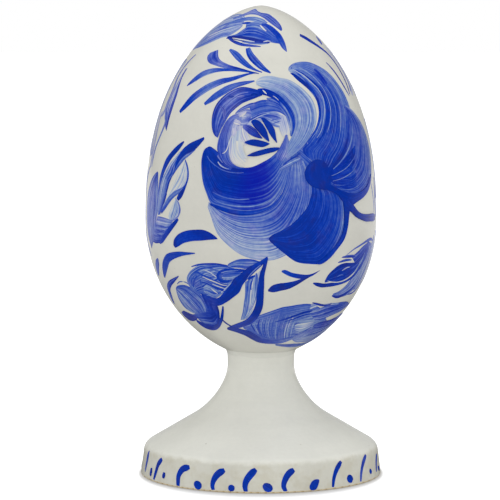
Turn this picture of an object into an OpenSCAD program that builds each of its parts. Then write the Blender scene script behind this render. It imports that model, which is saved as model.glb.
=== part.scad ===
// Decorated wooden egg on a turned pedestal.
//
// Two turnings make the piece: a solid egg, cut flat at its blunt end, and a pedestal with a
// slender neck and a wide foot. A fluted dowel, glued into a blind hole in each, holds them
// together, and a bead of filler rounds off the corner between them.
//
// Millimetres, +Z up. The origin is the middle of the flat underside of the foot.

/* [Egg] */
// Greatest diameter
egg_d = 83.5; // [60:0.5:110]
// Height of the pointed part, from the widest place up to the tip
tip_h = 77.3; // [50:0.1:110]
// Height of the blunt part, from the widest place down to where its curve would close
blunt_h = 50.6; // [35:0.1:75]
// Slice cut off the blunt end, to make the flat that is glued down
blunt_cut = 2.9; // [1.5:0.1:6]
// How long the sides above the widest place stay full, as the exponent of the height
tip_fullness = 2.4; // [1.8:0.05:3]
// How round the tip is, as the exponent of the radius: lower is more pointed
tip_roundness = 1.63; // [1.4:0.01:2]
// The same two for the part below the widest place
blunt_fullness = 2.02; // [1.8:0.01:2.6]
blunt_roundness = 1.72; // [1.4:0.01:2.2]

/* [Pedestal] */
// Height of the pedestal, from the table to the glued joint
pedestal_h = 45; // [35:0.5:80]
// Greatest diameter of the foot
foot_d = 87.5; // [70:0.5:120]
// Height of the upright rim round the foot, up to where its shoulder starts
rim_h = 8.8; // [5:0.1:14]
// Lean of the rim towards the axis, in degrees
rim_lean = 7.5; // [0:0.5:15]
// Radius of the rounded shoulder over the rim
shoulder_r = 4; // [2:0.1:6]
// Corner taken off the bottom edge of the foot
foot_edge = 0.6; // [0.3:0.1:1.5]
// Slope of the straight cone over the shoulder, in degrees from the table
cone_slope = 31; // [25:0.5:36]
// Diameter of the neck at its thinnest
waist_d = 24.2; // [20:0.2:32]
// How far the thinnest place lies under the glued joint
waist_drop = 5; // [4:0.5:10]
// Height of the cove that blends the cone into the neck
cove_h = 18.7; // [12:0.1:22]

/* [Joint] */
// Diameter of the dowel
dowel_d = 10; // [6:1:14]
// Length of the dowel, half of it in each hole
dowel_l = 40; // [20:1:50]
// Chamfer on the ends of the dowel
dowel_chamfer = 1; // [0.5:0.1:2]
// Number of glue flutes round the dowel
flute_count = 16; // [8:1:24]
// Depth of a glue flute
flute_depth = 0.4; // [0.2:0.1:0.8]
// Room for glue round the dowel
glue_gap = 0.05; // [0.02:0.01:0.15]
// Room for glue past each end of the dowel
end_gap = 0.6; // [0.2:0.1:2]
// Ledge that the pedestal keeps round the flat of the egg
ledge_w = 0.6; // [0.2:0.1:1.5]
// How far the filler runs up the egg, in height
filler_rise = 0.9; // [0.5:0.1:2]
// How far the filler runs down the neck
filler_drop = 1.5; // [0.8:0.1:3]

/* [Hidden] */
$fn = 128;

ground_white = [0.83, 0.83, 0.79];
filler_white = [0.80, 0.79, 0.73];
beech = [0.78, 0.62, 0.44];

curve_steps = 40;    // points along each long curve
arc_steps = 12;      // points along each short round
drill_angle = 118;   // angle of the drill's point, which the blind holes keep
cove_pull = 0.56;    // length of the cove's handles, as a share of the way to their crossing
filler_pull = 0.45;  // the same for the hollow face of the filler

egg_r = egg_d / 2;
foot_r = foot_d / 2;
waist_r = waist_d / 2;
joint_z = pedestal_h;
widest_z = joint_z + blunt_h - blunt_cut;
tip_z = widest_z + tip_h;
waist_z = joint_z - waist_drop;
hole_r = dowel_d / 2 + glue_gap;
hole_depth = dowel_l / 2 + end_gap;
flat_r = radius_below(blunt_h - blunt_cut);
seat_r = flat_r + ledge_w;
filler_top_z = joint_z + filler_rise;
filler_low_z = joint_z - filler_drop;

// Radius of the egg at a height above, or below, its widest place.
function radius_above(h) = egg_r * pow(1 - pow(h / tip_h, tip_fullness), 1 / tip_roundness);
function radius_below(h) = egg_r * pow(1 - pow(h / blunt_h, blunt_fullness), 1 / blunt_roundness);

// Points of a cubic curve from a to d with handles b and c, without a itself.
function curve(a, b, c, d, steps) = [
    for (i = [1 : steps])
        let (t = i / steps, u = 1 - t)
        u * u * u * a + 3 * u * u * t * b + 3 * u * t * t * c + t * t * t * d
];

// Points of an arc round c, from angle a0 to angle a1.
function arc(c, r, a0, a1, steps) = [
    for (i = [0 : steps])
        let (a = a0 + (a1 - a0) * i / steps)
        [c[0] + r * cos(a), c[1] + r * sin(a)]
];

// The side of the egg from height z0 to height z1, both at or below the widest place.
// The steps are even in angle, so that they close up where the curve turns most.
function lower_side(z0, z1, steps) =
    let (
        a0 = asin(pow((widest_z - z0) / blunt_h, blunt_fullness / 2)),
        a1 = asin(pow((widest_z - z1) / blunt_h, blunt_fullness / 2))
    )
    [
        for (i = [0 : steps])
            let (a = a0 + (a1 - a0) * i / steps)
            [
                egg_r * pow(max(cos(a), 0), 2 / blunt_roundness),
                widest_z - blunt_h * pow(max(sin(a), 0), 2 / blunt_fullness)
            ]
    ];

// The side of the egg from the widest place to the tip, without either end.
function upper_side(steps) = [
    for (i = [1 : steps - 1])
        let (a = 90 * i / steps)
        [egg_r * pow(cos(a), 2 / tip_roundness), widest_z + tip_h * pow(sin(a), 2 / tip_fullness)]
];

// The side of the pedestal from the table to the joint.
rim_top = [foot_r - (rim_h - foot_edge) * tan(rim_lean), rim_h];
shoulder_mid = rim_top - shoulder_r * [cos(rim_lean), sin(rim_lean)];
cone_low = shoulder_mid + shoulder_r * [sin(cone_slope), cos(cone_slope)];
cove_low_z = waist_z - cove_h;
cone_high = [cone_low[0] - (cove_low_z - cone_low[1]) / tan(cone_slope), cove_low_z];
crossing = [waist_r, cone_high[1] + (cone_high[0] - waist_r) * tan(cone_slope)];
waist = [waist_r, waist_z];
seat = [seat_r, joint_z];
under_seat = [waist_r + (seat_r - waist_r) / 2, filler_low_z];

function pedestal_side() = concat(
    [[foot_r - foot_edge, 0], [foot_r, foot_edge]],
    arc(shoulder_mid, shoulder_r, rim_lean, 90 - cone_slope, arc_steps),
    [cone_high],
    curve(
        cone_high,
        cone_high + cove_pull * (crossing - cone_high),
        waist + cove_pull * (crossing - waist),
        waist,
        curve_steps
    ),
    [under_seat, seat]
);

// A blind hole bored to depth from the joint, upward for dir 1 and downward for dir -1.
module dowel_hole(dir) {
    point_h = hole_r / tan(drill_angle / 2);
    translate([0, 0, joint_z])
        mirror([0, 0, dir > 0 ? 0 : 1])
            rotate_extrude()
                polygon([
                    [0, -1], [hole_r, -1], [hole_r, hole_depth], [0, hole_depth + point_h]
                ]);
}

module egg() {
    color(ground_white)
        difference() {
            rotate_extrude()
                polygon(concat(
                    [[0, joint_z]],
                    lower_side(joint_z, filler_top_z, arc_steps),
                    lower_side(filler_top_z, widest_z, curve_steps),
                    upper_side(curve_steps),
                    [[0, tip_z]]
                ));
            dowel_hole(1);
        }
}

module pedestal() {
    color(ground_white)
        difference() {
            rotate_extrude()
                polygon(concat([[0, 0]], pedestal_side(), [[0, joint_z]]));
            dowel_hole(-1);
        }
}

module dowel() {
    r = dowel_d / 2;
    half = dowel_l / 2;
    color(beech)
        translate([0, 0, joint_z])
            difference() {
                rotate_extrude()
                    polygon([
                        [0, -half], [r - dowel_chamfer, -half], [r, -half + dowel_chamfer],
                        [r, half - dowel_chamfer], [r - dowel_chamfer, half], [0, half]
                    ]);
                for (i = [0 : flute_count - 1])
                    rotate([0, 0, 360 * i / flute_count])
                        translate([r, 0, 0])
                            cylinder(r = flute_depth, h = dowel_l + 1, center = true, $fn = 24);
            }
}

// The bead fills the corner between the egg and the neck, with a hollow face.
module seam_filler() {
    against_egg = lower_side(joint_z, filler_top_z, arc_steps);
    bead_top = against_egg[arc_steps];
    color(filler_white)
        rotate_extrude()
            polygon(concat(
                against_egg,
                curve(
                    bead_top,
                    bead_top + filler_pull * (seat - bead_top),
                    under_seat + filler_pull * (seat - under_seat),
                    under_seat,
                    arc_steps
                ),
                [seat]
            ));
}

egg();
pedestal();
dowel();
seam_filler();
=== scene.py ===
import math
import random
import bpy
import numpy as np
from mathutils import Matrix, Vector


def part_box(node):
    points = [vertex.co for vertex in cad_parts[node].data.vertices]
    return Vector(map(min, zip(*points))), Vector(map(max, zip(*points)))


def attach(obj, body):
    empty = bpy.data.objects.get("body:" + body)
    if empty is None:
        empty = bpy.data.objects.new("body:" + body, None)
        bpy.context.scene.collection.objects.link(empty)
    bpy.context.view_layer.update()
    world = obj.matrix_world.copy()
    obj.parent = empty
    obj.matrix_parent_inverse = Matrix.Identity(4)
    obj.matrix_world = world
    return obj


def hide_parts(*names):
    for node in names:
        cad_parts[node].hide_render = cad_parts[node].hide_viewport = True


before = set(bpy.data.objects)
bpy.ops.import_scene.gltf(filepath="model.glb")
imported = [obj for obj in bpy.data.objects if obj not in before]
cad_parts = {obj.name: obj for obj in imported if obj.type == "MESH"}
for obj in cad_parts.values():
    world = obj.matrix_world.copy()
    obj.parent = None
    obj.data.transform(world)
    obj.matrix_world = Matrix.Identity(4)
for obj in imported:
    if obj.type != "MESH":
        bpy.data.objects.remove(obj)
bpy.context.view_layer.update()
print("frame loaded:", ", ".join(sorted(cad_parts)))

mm = 0.001


def srgb(r, g, b):
    # a colour as a painter picks it, 0 to 255, turned into the linear values that nodes want
    def lin(c):
        c /= 255
        return c / 12.92 if c <= 0.04045 else ((c + 0.055) / 1.055) ** 2.4
    return (lin(r), lin(g), lin(b), 1.0)


# node helpers
def newGroup(name, inputs, outputs):
    # gives back the tree, the sockets that come in and the sockets that go out
    tree = bpy.data.node_groups.new(name, "ShaderNodeTree")
    for label, kind, value in inputs:
        sock = tree.interface.new_socket(name=label, in_out="INPUT", socket_type="NodeSocket" + kind)
        if value is not None:
            sock.default_value = value
    for label, kind in outputs:
        tree.interface.new_socket(name=label, in_out="OUTPUT", socket_type="NodeSocket" + kind)
    return tree, tree.nodes.new("NodeGroupInput").outputs, tree.nodes.new("NodeGroupOutput").inputs


def addNode(tree, kind, **settings):
    node = tree.nodes.new("ShaderNode" + kind)
    for key, value in settings.items():
        setattr(node, key, value)
    return node


def plug(tree, value, socket):
    # a socket is linked, a plain number or colour is set on the socket itself
    if isinstance(value, bpy.types.NodeSocket):
        tree.links.new(value, socket)
    else:
        socket.default_value = value


def maths(tree, operation, a, b=0.0, clamp=False):
    node = addNode(tree, "Math", operation=operation, use_clamp=clamp)
    plug(tree, a, node.inputs[0])
    plug(tree, b, node.inputs[1])
    return node.outputs[0]


def plus(tree, a, b):
    return maths(tree, "ADD", a, b)


def minus(tree, a, b):
    return maths(tree, "SUBTRACT", a, b)


def times(tree, a, b):
    return maths(tree, "MULTIPLY", a, b)


def ranged(tree, value, low, high, toLow=0.0, toHigh=1.0):
    node = addNode(tree, "MapRange", interpolation_type="SMOOTHSTEP")
    for socket, v in zip(node.inputs[:5], (value, low, high, toLow, toHigh)):
        plug(tree, v, socket)
    return node.outputs["Result"]


def blendColors(tree, factor, a, b):
    node = addNode(tree, "Mix", data_type="RGBA")
    plug(tree, factor, node.inputs[0])
    plug(tree, a, node.inputs[6])
    plug(tree, b, node.inputs[7])
    return node.outputs[2]


def noise(tree, vector, scale, detail=2.0, rough=0.5):
    node = addNode(tree, "TexNoise")
    plug(tree, vector, node.inputs["Vector"])
    plug(tree, scale, node.inputs["Scale"])
    plug(tree, detail, node.inputs["Detail"])
    plug(tree, rough, node.inputs["Roughness"])
    return node.outputs["Fac"]


def aroundZero(tree, value):
    # noise that runs from about -0.5 to 0.5
    return minus(tree, value, 0.5)


def stretched(tree, vector, amounts):
    node = addNode(tree, "VectorMath", operation="MULTIPLY")
    plug(tree, vector, node.inputs[0])
    node.inputs[1].default_value = amounts
    return node.outputs[0]


def separated(tree, vector):
    node = addNode(tree, "SeparateXYZ")
    plug(tree, vector, node.inputs[0])
    return node.outputs


def ramp(tree, value, stopList):
    node = addNode(tree, "ValToRGB")
    elements = node.color_ramp.elements
    while len(elements) < len(stopList):
        elements.new(0.5)
    for element, (position, color) in zip(elements, stopList):
        element.position = position
        element.color = srgb(*color)
    plug(tree, value, node.inputs[0])
    return node.outputs[0]


# the white primer, brushed on while the wood turns on the lathe; scales say how many patches fit in a metre
gesso = {
    "color": srgb(210, 209, 200),
    "cloudScale": 45.0,
    "cloudTone": 0.55,
    "fineScale": 700.0,
    "fineTone": 0.07,
    "ringScale": (14.0, 14.0, 620.0),      # far finer up the axis than round it
    "ringTone": 0.10,
    "gritScale": 330.0,
    "gritSize": (0.05, 0.13),
    "gritPatchScale": 120.0,
    "gritPatches": (0.58, 0.7),
    "gritColor": srgb(132, 122, 98),
    "fineHeight": 0.35,      # beside the rings
    "gritHeight": 0.8,
}


def makeGesso():
    tree, given, out = newGroup("gesso", [
        ("Coords", "Vector", None), ("Color", "Color", gesso["color"]), ("Rings", "Float", 0.5),
        ("Mottle", "Float", 0.5), ("Specks", "Float", 0.3)], [("Color", "Color"), ("Height", "Float")])
    coords = given["Coords"]
    cloud = noise(tree, coords, gesso["cloudScale"], 3.0, 0.55)
    fine = noise(tree, coords, gesso["fineScale"], 3.0, 0.6)
    rings = noise(tree, stretched(tree, coords, gesso["ringScale"]), 1.0, 3.0, 0.6)
    cloudTone = times(tree, aroundZero(tree, cloud), times(tree, given["Mottle"], gesso["cloudTone"]))
    ringTone = times(tree, aroundZero(tree, rings), times(tree, given["Rings"], gesso["ringTone"]))
    fineTone = times(tree, aroundZero(tree, fine), gesso["fineTone"])
    tone = plus(tree, 1.0, plus(tree, cloudTone, plus(tree, ringTone, fineTone)))
    toned = addNode(tree, "HueSaturation")
    plug(tree, given["Color"], toned.inputs["Color"])
    plug(tree, tone, toned.inputs["Value"])
    # grit caught in the primer
    dots = addNode(tree, "TexVoronoi", feature="F1")
    plug(tree, coords, dots.inputs["Vector"])
    dots.inputs["Scale"].default_value = gesso["gritScale"]
    small = ranged(tree, dots.outputs["Distance"], *gesso["gritSize"], 1.0, 0.0)
    some = ranged(tree, noise(tree, coords, gesso["gritPatchScale"], 1.0), *gesso["gritPatches"])
    speck = times(tree, times(tree, small, some), given["Specks"])
    plug(tree, blendColors(tree, speck, toned.outputs[0], gesso["gritColor"]), out["Color"])
    height = plus(tree, times(tree, rings, given["Rings"]), times(tree, fine, gesso["fineHeight"]))
    plug(tree, plus(tree, height, times(tree, speck, gesso["gritHeight"])), out["Height"])
    return tree


# bristle marks: streaks that follow the brush, finer and coarser ones together
bristles = {"fineDetail": 3.0, "fineShare": 5.2, "broadDetail": 1.0, "broadShare": 0.8, "rough": 0.55}


def makeBristleMarks():
    # Bristle holds millimetres across the brush, millimetres along it, and how dry the brush was
    tree, given, out = newGroup("bristleMarks", [
        ("Bristle", "Vector", None), ("Fine", "Float", 0.45), ("Broad", "Float", 1.1),
        ("Length", "Float", 28.0)], [("Streak", "Float"), ("Height", "Float")])
    across, along, drag = separated(tree, given["Bristle"])
    along = maths(tree, "DIVIDE", along, given["Length"])
    marks = []
    for size, detail in (("Fine", bristles["fineDetail"]), ("Broad", bristles["broadDetail"])):
        spot = addNode(tree, "CombineXYZ")
        plug(tree, maths(tree, "DIVIDE", across, given[size]), spot.inputs[0])
        plug(tree, along, spot.inputs[1])
        marks.append(aroundZero(tree, noise(tree, spot.outputs[0], 1.0, detail, bristles["rough"])))
    fine, broad = marks
    both = plus(tree, times(tree, fine, bristles["fineShare"]), times(tree, broad, bristles["broadShare"]))
    plug(tree, times(tree, both, drag), out["Streak"])
    plug(tree, times(tree, fine, drag), out["Height"])
    return tree


# cobalt paint over white: from a thin pale wash to a full brush
cobalt = {
    "stops": [(0.0, (207, 207, 200)), (0.11, (198, 204, 208)), (0.22, (176, 189, 210)),
              (0.33, (146, 166, 202)), (0.44, (116, 141, 193)), (0.56, (88, 115, 190)),
              (0.67, (60, 92, 185)), (0.78, (31, 72, 180)), (0.89, (0, 56, 179)), (1.0, (0, 47, 156))],
    # violet: partly the paint's own tint, partly a painted reflection of the lamps' pale haze in the varnish
    "violet": [(0.0, (207, 206, 203)), (0.25, (182, 183, 212)), (0.5, (120, 130, 198)),
               (0.7, (76, 88, 182)), (0.85, (48, 59, 156)), (1.0, (32, 40, 125))],
    "ultramarine": srgb(2, 8, 166),
    "streakRoom": 0.3,       # how far bristle marks move the tone in a full stroke
    "thinRoom": 0.2,         # and how much farther in a thin one
    "poolScale": 620.0,
    "poolFrom": (0.05, 0.5),
    "bloomScale": 240.0,     # violet bloom here and there
    "bloomPatches": (0.5, 0.72),
    "bloom": 0.45,
    "coverBy": 0.16,         # tone at which the paint hides the ground
}


def makeCobalt():
    # Cast runs from -1, violet, to 1, ultramarine; the violet end is partly the paint's own tint and partly a
    # painted reflection, the lamps' pale haze in the varnish
    tree, given, out = newGroup("cobaltPaint", [
        ("Load", "Float", 0.8), ("Cast", "Float", 0.0), ("Streak", "Float", 0.0),
        ("Coords", "Vector", None), ("Patchy", "Float", 0.3), ("Ground", "Color", None)],
        [("Color", "Color"), ("Cover", "Float")])
    coords, load = given["Coords"], given["Load"]
    room = plus(tree, cobalt["streakRoom"], times(tree, minus(tree, 1.0, load), cobalt["thinRoom"]))
    pool = aroundZero(tree, noise(tree, coords, cobalt["poolScale"], 3.0, 0.6))
    wet = times(tree, times(tree, pool, given["Patchy"]), ranged(tree, load, *cobalt["poolFrom"]))
    streaked = plus(tree, times(tree, given["Streak"], room), wet)
    tone = maths(tree, "ADD", load, streaked, clamp=True)
    patches = noise(tree, coords, cobalt["bloomScale"])
    bloom = ranged(tree, patches, *cobalt["bloomPatches"], 0.0, cobalt["bloom"])
    cast = minus(tree, given["Cast"], bloom)
    plain = ramp(tree, tone, cobalt["stops"])
    violet = ramp(tree, tone, cobalt["violet"])
    color = blendColors(tree, maths(tree, "MULTIPLY", cast, -1.0, clamp=True), plain, violet)
    warm = times(tree, maths(tree, "MULTIPLY", given["Cast"], 1.0, clamp=True), tone)
    color = blendColors(tree, warm, color, cobalt["ultramarine"])
    cover = ranged(tree, tone, 0.0, cobalt["coverBy"])
    plug(tree, blendColors(tree, cover, given["Ground"], color), out["Color"])
    plug(tree, cover, out["Cover"])
    return tree


# slow ripples and dust in the brushed-on varnish
varnish = {
    "rippleStretch": (1.0, 1.0, 1.6),
    "rippleScale": 130.0,
    "dustScale": 1500.0,
    "dustHeight": 0.06,
    "ripples": (0.3, 0.7),      # the hollows and crests between which the roughness runs
    "roughness": (0.14, 0.22),
}


def makeVarnish():
    tree, given, out = newGroup("varnishSkin", [("Coords", "Vector", None), ("Ripple", "Float", 1.0)],
                                [("Height", "Float"), ("Roughness", "Float")])
    rippled = stretched(tree, given["Coords"], varnish["rippleStretch"])
    slow = noise(tree, rippled, varnish["rippleScale"])
    dust = noise(tree, given["Coords"], varnish["dustScale"], 1.0)
    both = plus(tree, times(tree, slow, given["Ripple"]), times(tree, dust, varnish["dustHeight"]))
    plug(tree, both, out["Height"])
    plug(tree, ranged(tree, slow, *varnish["ripples"], *varnish["roughness"]), out["Roughness"])
    return tree


# beech: pale wood with year rings and short dark flecks along the grain
beech = {
    "pith": (0.05, 0.022, 0.0),      # metres from the axis; the pith lies outside the blank
    "bendScale": 60.0,
    "bend": 0.0022,
    "ringsPerMetre": 420.0,
    "lateWood": (0.45, 0.97),
    "fleckScale": (2600.0, 2600.0, 240.0),
    "flecks": (0.58, 0.7),
    "fleckDepth": 0.28,
    "earlyColor": srgb(213, 198, 164),
    "lateColor": srgb(186, 162, 120),
    "fleckColor": srgb(141, 110, 76),
}


def makeBeech():
    tree, given, out = newGroup("beechWood", [("Coords", "Vector", None), ("Rings", "Float", 1.0)],
                                [("Color", "Color"), ("Height", "Float")])
    coords = given["Coords"]
    shifted = addNode(tree, "VectorMath", operation="ADD")
    plug(tree, coords, shifted.inputs[0])
    shifted.inputs[1].default_value = beech["pith"]
    away = addNode(tree, "VectorMath", operation="LENGTH")
    plug(tree, stretched(tree, shifted.outputs[0], (1.0, 1.0, 0.0)), away.inputs[0])
    bend = times(tree, noise(tree, coords, beech["bendScale"]), beech["bend"])
    year = maths(tree, "FRACT", times(tree, plus(tree, away.outputs["Value"], bend), beech["ringsPerMetre"]))
    late = times(tree, ranged(tree, year, *beech["lateWood"]), given["Rings"])
    flecks = noise(tree, stretched(tree, coords, beech["fleckScale"]), 1.0, 1.0)
    tone = blendColors(tree, late, beech["earlyColor"], beech["lateColor"])
    dark = ranged(tree, flecks, *beech["flecks"], 0.0, beech["fleckDepth"])
    plug(tree, blendColors(tree, dark, tone, beech["fleckColor"]), out["Color"])
    plug(tree, minus(tree, late, flecks), out["Height"])
    return tree


gessoGroup = makeGesso()
bristleGroup = makeBristleMarks()
cobaltGroup = makeCobalt()
varnishGroup = makeVarnish()
beechGroup = makeBeech()

finish = {
    "eggWhite": srgb(213, 212, 203),
    # painted light: the bead is the egg's primer, lifted well over it to cancel the shade it lies in under
    # the egg
    "fillerWhitePaintedLight": srgb(224, 224, 215),
    "gloss": 0.26,
    "relief": 0.0001,          # metres that the full height of a bump stands for
    "bump": 0.35,
    "primerHeight": 0.25,      # of the primer under the varnish's own ripples
    "grooves": 0.5,            # height of the bristle marks
    "dowelRough": 0.62,
    "dowelBump": 0.3,
}


def newMaterial(name):
    # gives back the material, its tree, the shader's inputs and the piece's own coordinates
    material = bpy.data.materials.new(name)
    material.use_nodes = True
    tree = material.node_tree
    shader = tree.nodes["Principled BSDF"].inputs
    shader["Specular IOR Level"].default_value = finish["gloss"]
    return material, tree, shader, addNode(tree, "TexCoord").outputs["Object"]


def useGroup(tree, group, **values):
    node = addNode(tree, "Group", node_tree=group)
    for label, value in values.items():
        plug(tree, value, node.inputs[label])
    return node.outputs


def bumped(tree, height, shader, strength):
    bump = addNode(tree, "Bump")
    bump.inputs["Strength"].default_value = strength
    bump.inputs["Distance"].default_value = finish["relief"]
    plug(tree, height, bump.inputs["Height"])
    plug(tree, bump.outputs["Normal"], shader["Normal"])


def primerMaterial(name, white, rings, mottle, specks):
    material, tree, shader, coords = newMaterial(name)
    ground = useGroup(tree, gessoGroup, Coords=coords, Color=white, Rings=rings, Mottle=mottle, Specks=specks)
    skin = useGroup(tree, varnishGroup, Coords=coords)
    plug(tree, ground["Color"], shader["Base Color"])
    plug(tree, skin["Roughness"], shader["Roughness"])
    height = plus(tree, times(tree, ground["Height"], finish["primerHeight"]), skin["Height"])
    bumped(tree, height, shader, finish["bump"])
    return material


# the rim was handled most: its white is yellowed, and the wood shows at the bottom edge and underneath
stand = {
    # painted light: the same primer as the egg, set brighter to make up for the shade under the egg on the
    # neck and cone
    "white": srgb(225, 225, 216),
    "rimWhite": srgb(208, 207, 196),
    "rimShade": srgb(201, 198, 183),
    "rimUpTo": (0.0092, 0.0112),      # metres up; the rim's white fades out over this stretch
    "rimDrift": 0.0024,               # how uneven that border is
    "bareUpTo": (0.0004, 0.0007),     # bare wood below this height
    "bareDrift": 0.0003,
    "driftScale": 260.0,
    "blotchScale": 150.0,
    "blotches": (0.42, 0.66),
    "lumpScale": 420.0,
    "lumps": 0.7,                     # unevenness of the rim under the light
    "bareRough": 0.3,                 # added to the varnish's roughness
    "rimRough": 0.06,
    "primerHeight": 0.3,
    "bump": 0.4,
}


def standMaterial():
    material, tree, shader, coords = newMaterial("primedStand")
    height = separated(tree, coords)[2]
    drift = noise(tree, coords, stand["driftScale"], 3.0, 0.6)
    level = plus(tree, height, times(tree, aroundZero(tree, drift), stand["rimDrift"]))
    onRim = ranged(tree, level, *stand["rimUpTo"], 1.0, 0.0)
    blotch = ranged(tree, noise(tree, coords, stand["blotchScale"], 4.0, 0.62), *stand["blotches"])
    rimColor = blendColors(tree, blotch, stand["rimWhite"], stand["rimShade"])
    base = blendColors(tree, onRim, stand["white"], rimColor)
    ground = useGroup(tree, gessoGroup, Coords=coords, Color=base, Rings=0.5, Mottle=0.4, Specks=0.45)
    wood = useGroup(tree, beechGroup, Coords=coords)
    bareLevel = plus(tree, height, times(tree, aroundZero(tree, drift), stand["bareDrift"]))
    bare = ranged(tree, bareLevel, *stand["bareUpTo"], 1.0, 0.0)
    plug(tree, blendColors(tree, bare, ground["Color"], wood["Color"]), shader["Base Color"])
    skin = useGroup(tree, varnishGroup, Coords=coords)
    rough = plus(tree, skin["Roughness"], times(tree, bare, stand["bareRough"]))
    plug(tree, plus(tree, rough, times(tree, onRim, stand["rimRough"])), shader["Roughness"])
    shader["Specular IOR Level"].default_value = finish["gloss"] / 2
    lumps = plus(tree, drift, noise(tree, coords, stand["lumpScale"]))
    lumps = times(tree, lumps, times(tree, onRim, stand["lumps"]))
    relief = plus(tree, times(tree, ground["Height"], stand["primerHeight"]), skin["Height"])
    bumped(tree, plus(tree, relief, lumps), shader, stand["bump"])
    return material


def paintMaterial(name, white, mottle, fine, broad):
    # fine and broad are the widths in millimetres of the two kinds of bristle marks
    material, tree, shader, coords = newMaterial(name)
    load = addNode(tree, "Attribute", attribute_name="paintLoad").outputs["Fac"]
    # the violet end of the cast is partly a painted reflection, the lamps' haze in the varnish
    cast = addNode(tree, "Attribute", attribute_name="paintCastAndHaze").outputs["Fac"]
    bristle = addNode(tree, "Attribute", attribute_name="bristle").outputs["Vector"]
    ground = useGroup(tree, gessoGroup, Coords=coords, Color=white, Rings=0.5, Mottle=mottle, Specks=0.2)
    marks = useGroup(tree, bristleGroup, Bristle=bristle, Fine=fine, Broad=broad)
    paint = useGroup(tree, cobaltGroup, Load=load, Cast=cast, Streak=marks["Streak"],
                     Coords=coords, Ground=ground["Color"])
    skin = useGroup(tree, varnishGroup, Coords=coords)
    plug(tree, paint["Color"], shader["Base Color"])
    plug(tree, skin["Roughness"], shader["Roughness"])
    grooves = times(tree, times(tree, marks["Height"], paint["Cover"]), finish["grooves"])
    bumped(tree, plus(tree, grooves, skin["Height"]), shader, finish["bump"])
    return material


def beechMaterial():
    material, tree, shader, coords = newMaterial("beechDowel")
    wood = useGroup(tree, beechGroup, Coords=coords, Rings=0.6)
    plug(tree, wood["Color"], shader["Base Color"])
    shader["Roughness"].default_value = finish["dowelRough"]
    bumped(tree, wood["Height"], shader, finish["dowelBump"])
    return material


primedEgg = primerMaterial("primedEgg", finish["eggWhite"], 0.35, 0.35, 0.25)
primedStand = standMaterial()
primedBead = primerMaterial("primedBead", finish["fillerWhitePaintedLight"], 0.2, 0.5, 0.2)
eggPaint = paintMaterial("cobaltOnEgg", finish["eggWhite"], 0.35, 0.45, 1.5)
rimPaint = paintMaterial("cobaltOnRim", stand["rimWhite"], 0.4, 0.4, 1.2)
beechDowel = beechMaterial()
print("materials made")

# lengths in millimetres from here on
egg = {
    "radius": 41.75,
    "foot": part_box("pedestal")[1][2] / mm,      # height of the glued joint
    "top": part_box("egg")[1][2] / mm,
    "tipHeight": 77.3,
    "bluntHeight": 50.6,
    "tipFullness": 2.4,
    "tipRoundness": 1.63,
    "bluntFullness": 2.02,
    "bluntRoundness": 1.72,
    "rings": 100,
    "segments": 320,
}
egg["widest"] = egg["top"] - egg["tipHeight"]


def eggSide():
    # half outline of the egg, from the flat under it to the tip, as (radius, height)
    pts = []
    start = math.asin(((egg["widest"] - egg["foot"]) / egg["bluntHeight"]) ** (egg["bluntFullness"] / 2))
    for i in range(egg["rings"] + 1):
        a = start * (1 - i / egg["rings"])
        r = egg["radius"] * math.cos(a) ** (2 / egg["bluntRoundness"])
        pts.append((r, egg["widest"] - egg["bluntHeight"] * math.sin(a) ** (2 / egg["bluntFullness"])))
    for i in range(1, egg["rings"] + 1):
        a = math.pi / 2 * i / egg["rings"]
        r = egg["radius"] * max(math.cos(a), 0) ** (2 / egg["tipRoundness"])
        pts.append((r, egg["widest"] + egg["tipHeight"] * math.sin(a) ** (2 / egg["tipFullness"])))
    return np.array(pts)


pedestal = {
    "footRadius": 43.75,
    "edge": 0.6,             # corner rounded off under the rim
    "edgeTurn": 1.44,        # radians that this corner turns through, up to the rim's lean
    "rim": 8.8,
    "lean": math.radians(7.5),
    "shoulder": 4.0,
    "slope": math.radians(31),
    "waistRadius": 12.1,
    "waistDrop": 5.0,
    "cove": 18.7,
    "covePull": 0.56,
    "seatRadius": 12.3,
    "waistPull": [0.0, 2.0],      # handles of the short curve from the waist up to the joint
    "seatPull": [-0.1, -1.5],
    "top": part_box("pedestal")[1][2] / mm,
    "segments": 320,
    "sanding": 0.05,         # the rim was sanded by hand before priming, so it is not quite even
    "sandedTo": 12,
    "sandFade": 4,
    "sandWaves": [(5, 0.4, 0, 0.5), (11, 0, 2, 0.3), (23, -1, 0, 0.2)],      # as in unevenness()
}


def bezier(a, b, c, d, steps):
    t = np.linspace(0, 1, steps + 1)[1:, None]
    u = 1 - t
    return u ** 3 * a + 3 * u * u * t * b + 3 * u * t * t * c + t ** 3 * d


def straight(a, b, steps):
    # like bezier, without the point it starts from
    return a + (b - a) * np.linspace(0, 1, steps + 1)[1:, None]


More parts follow.
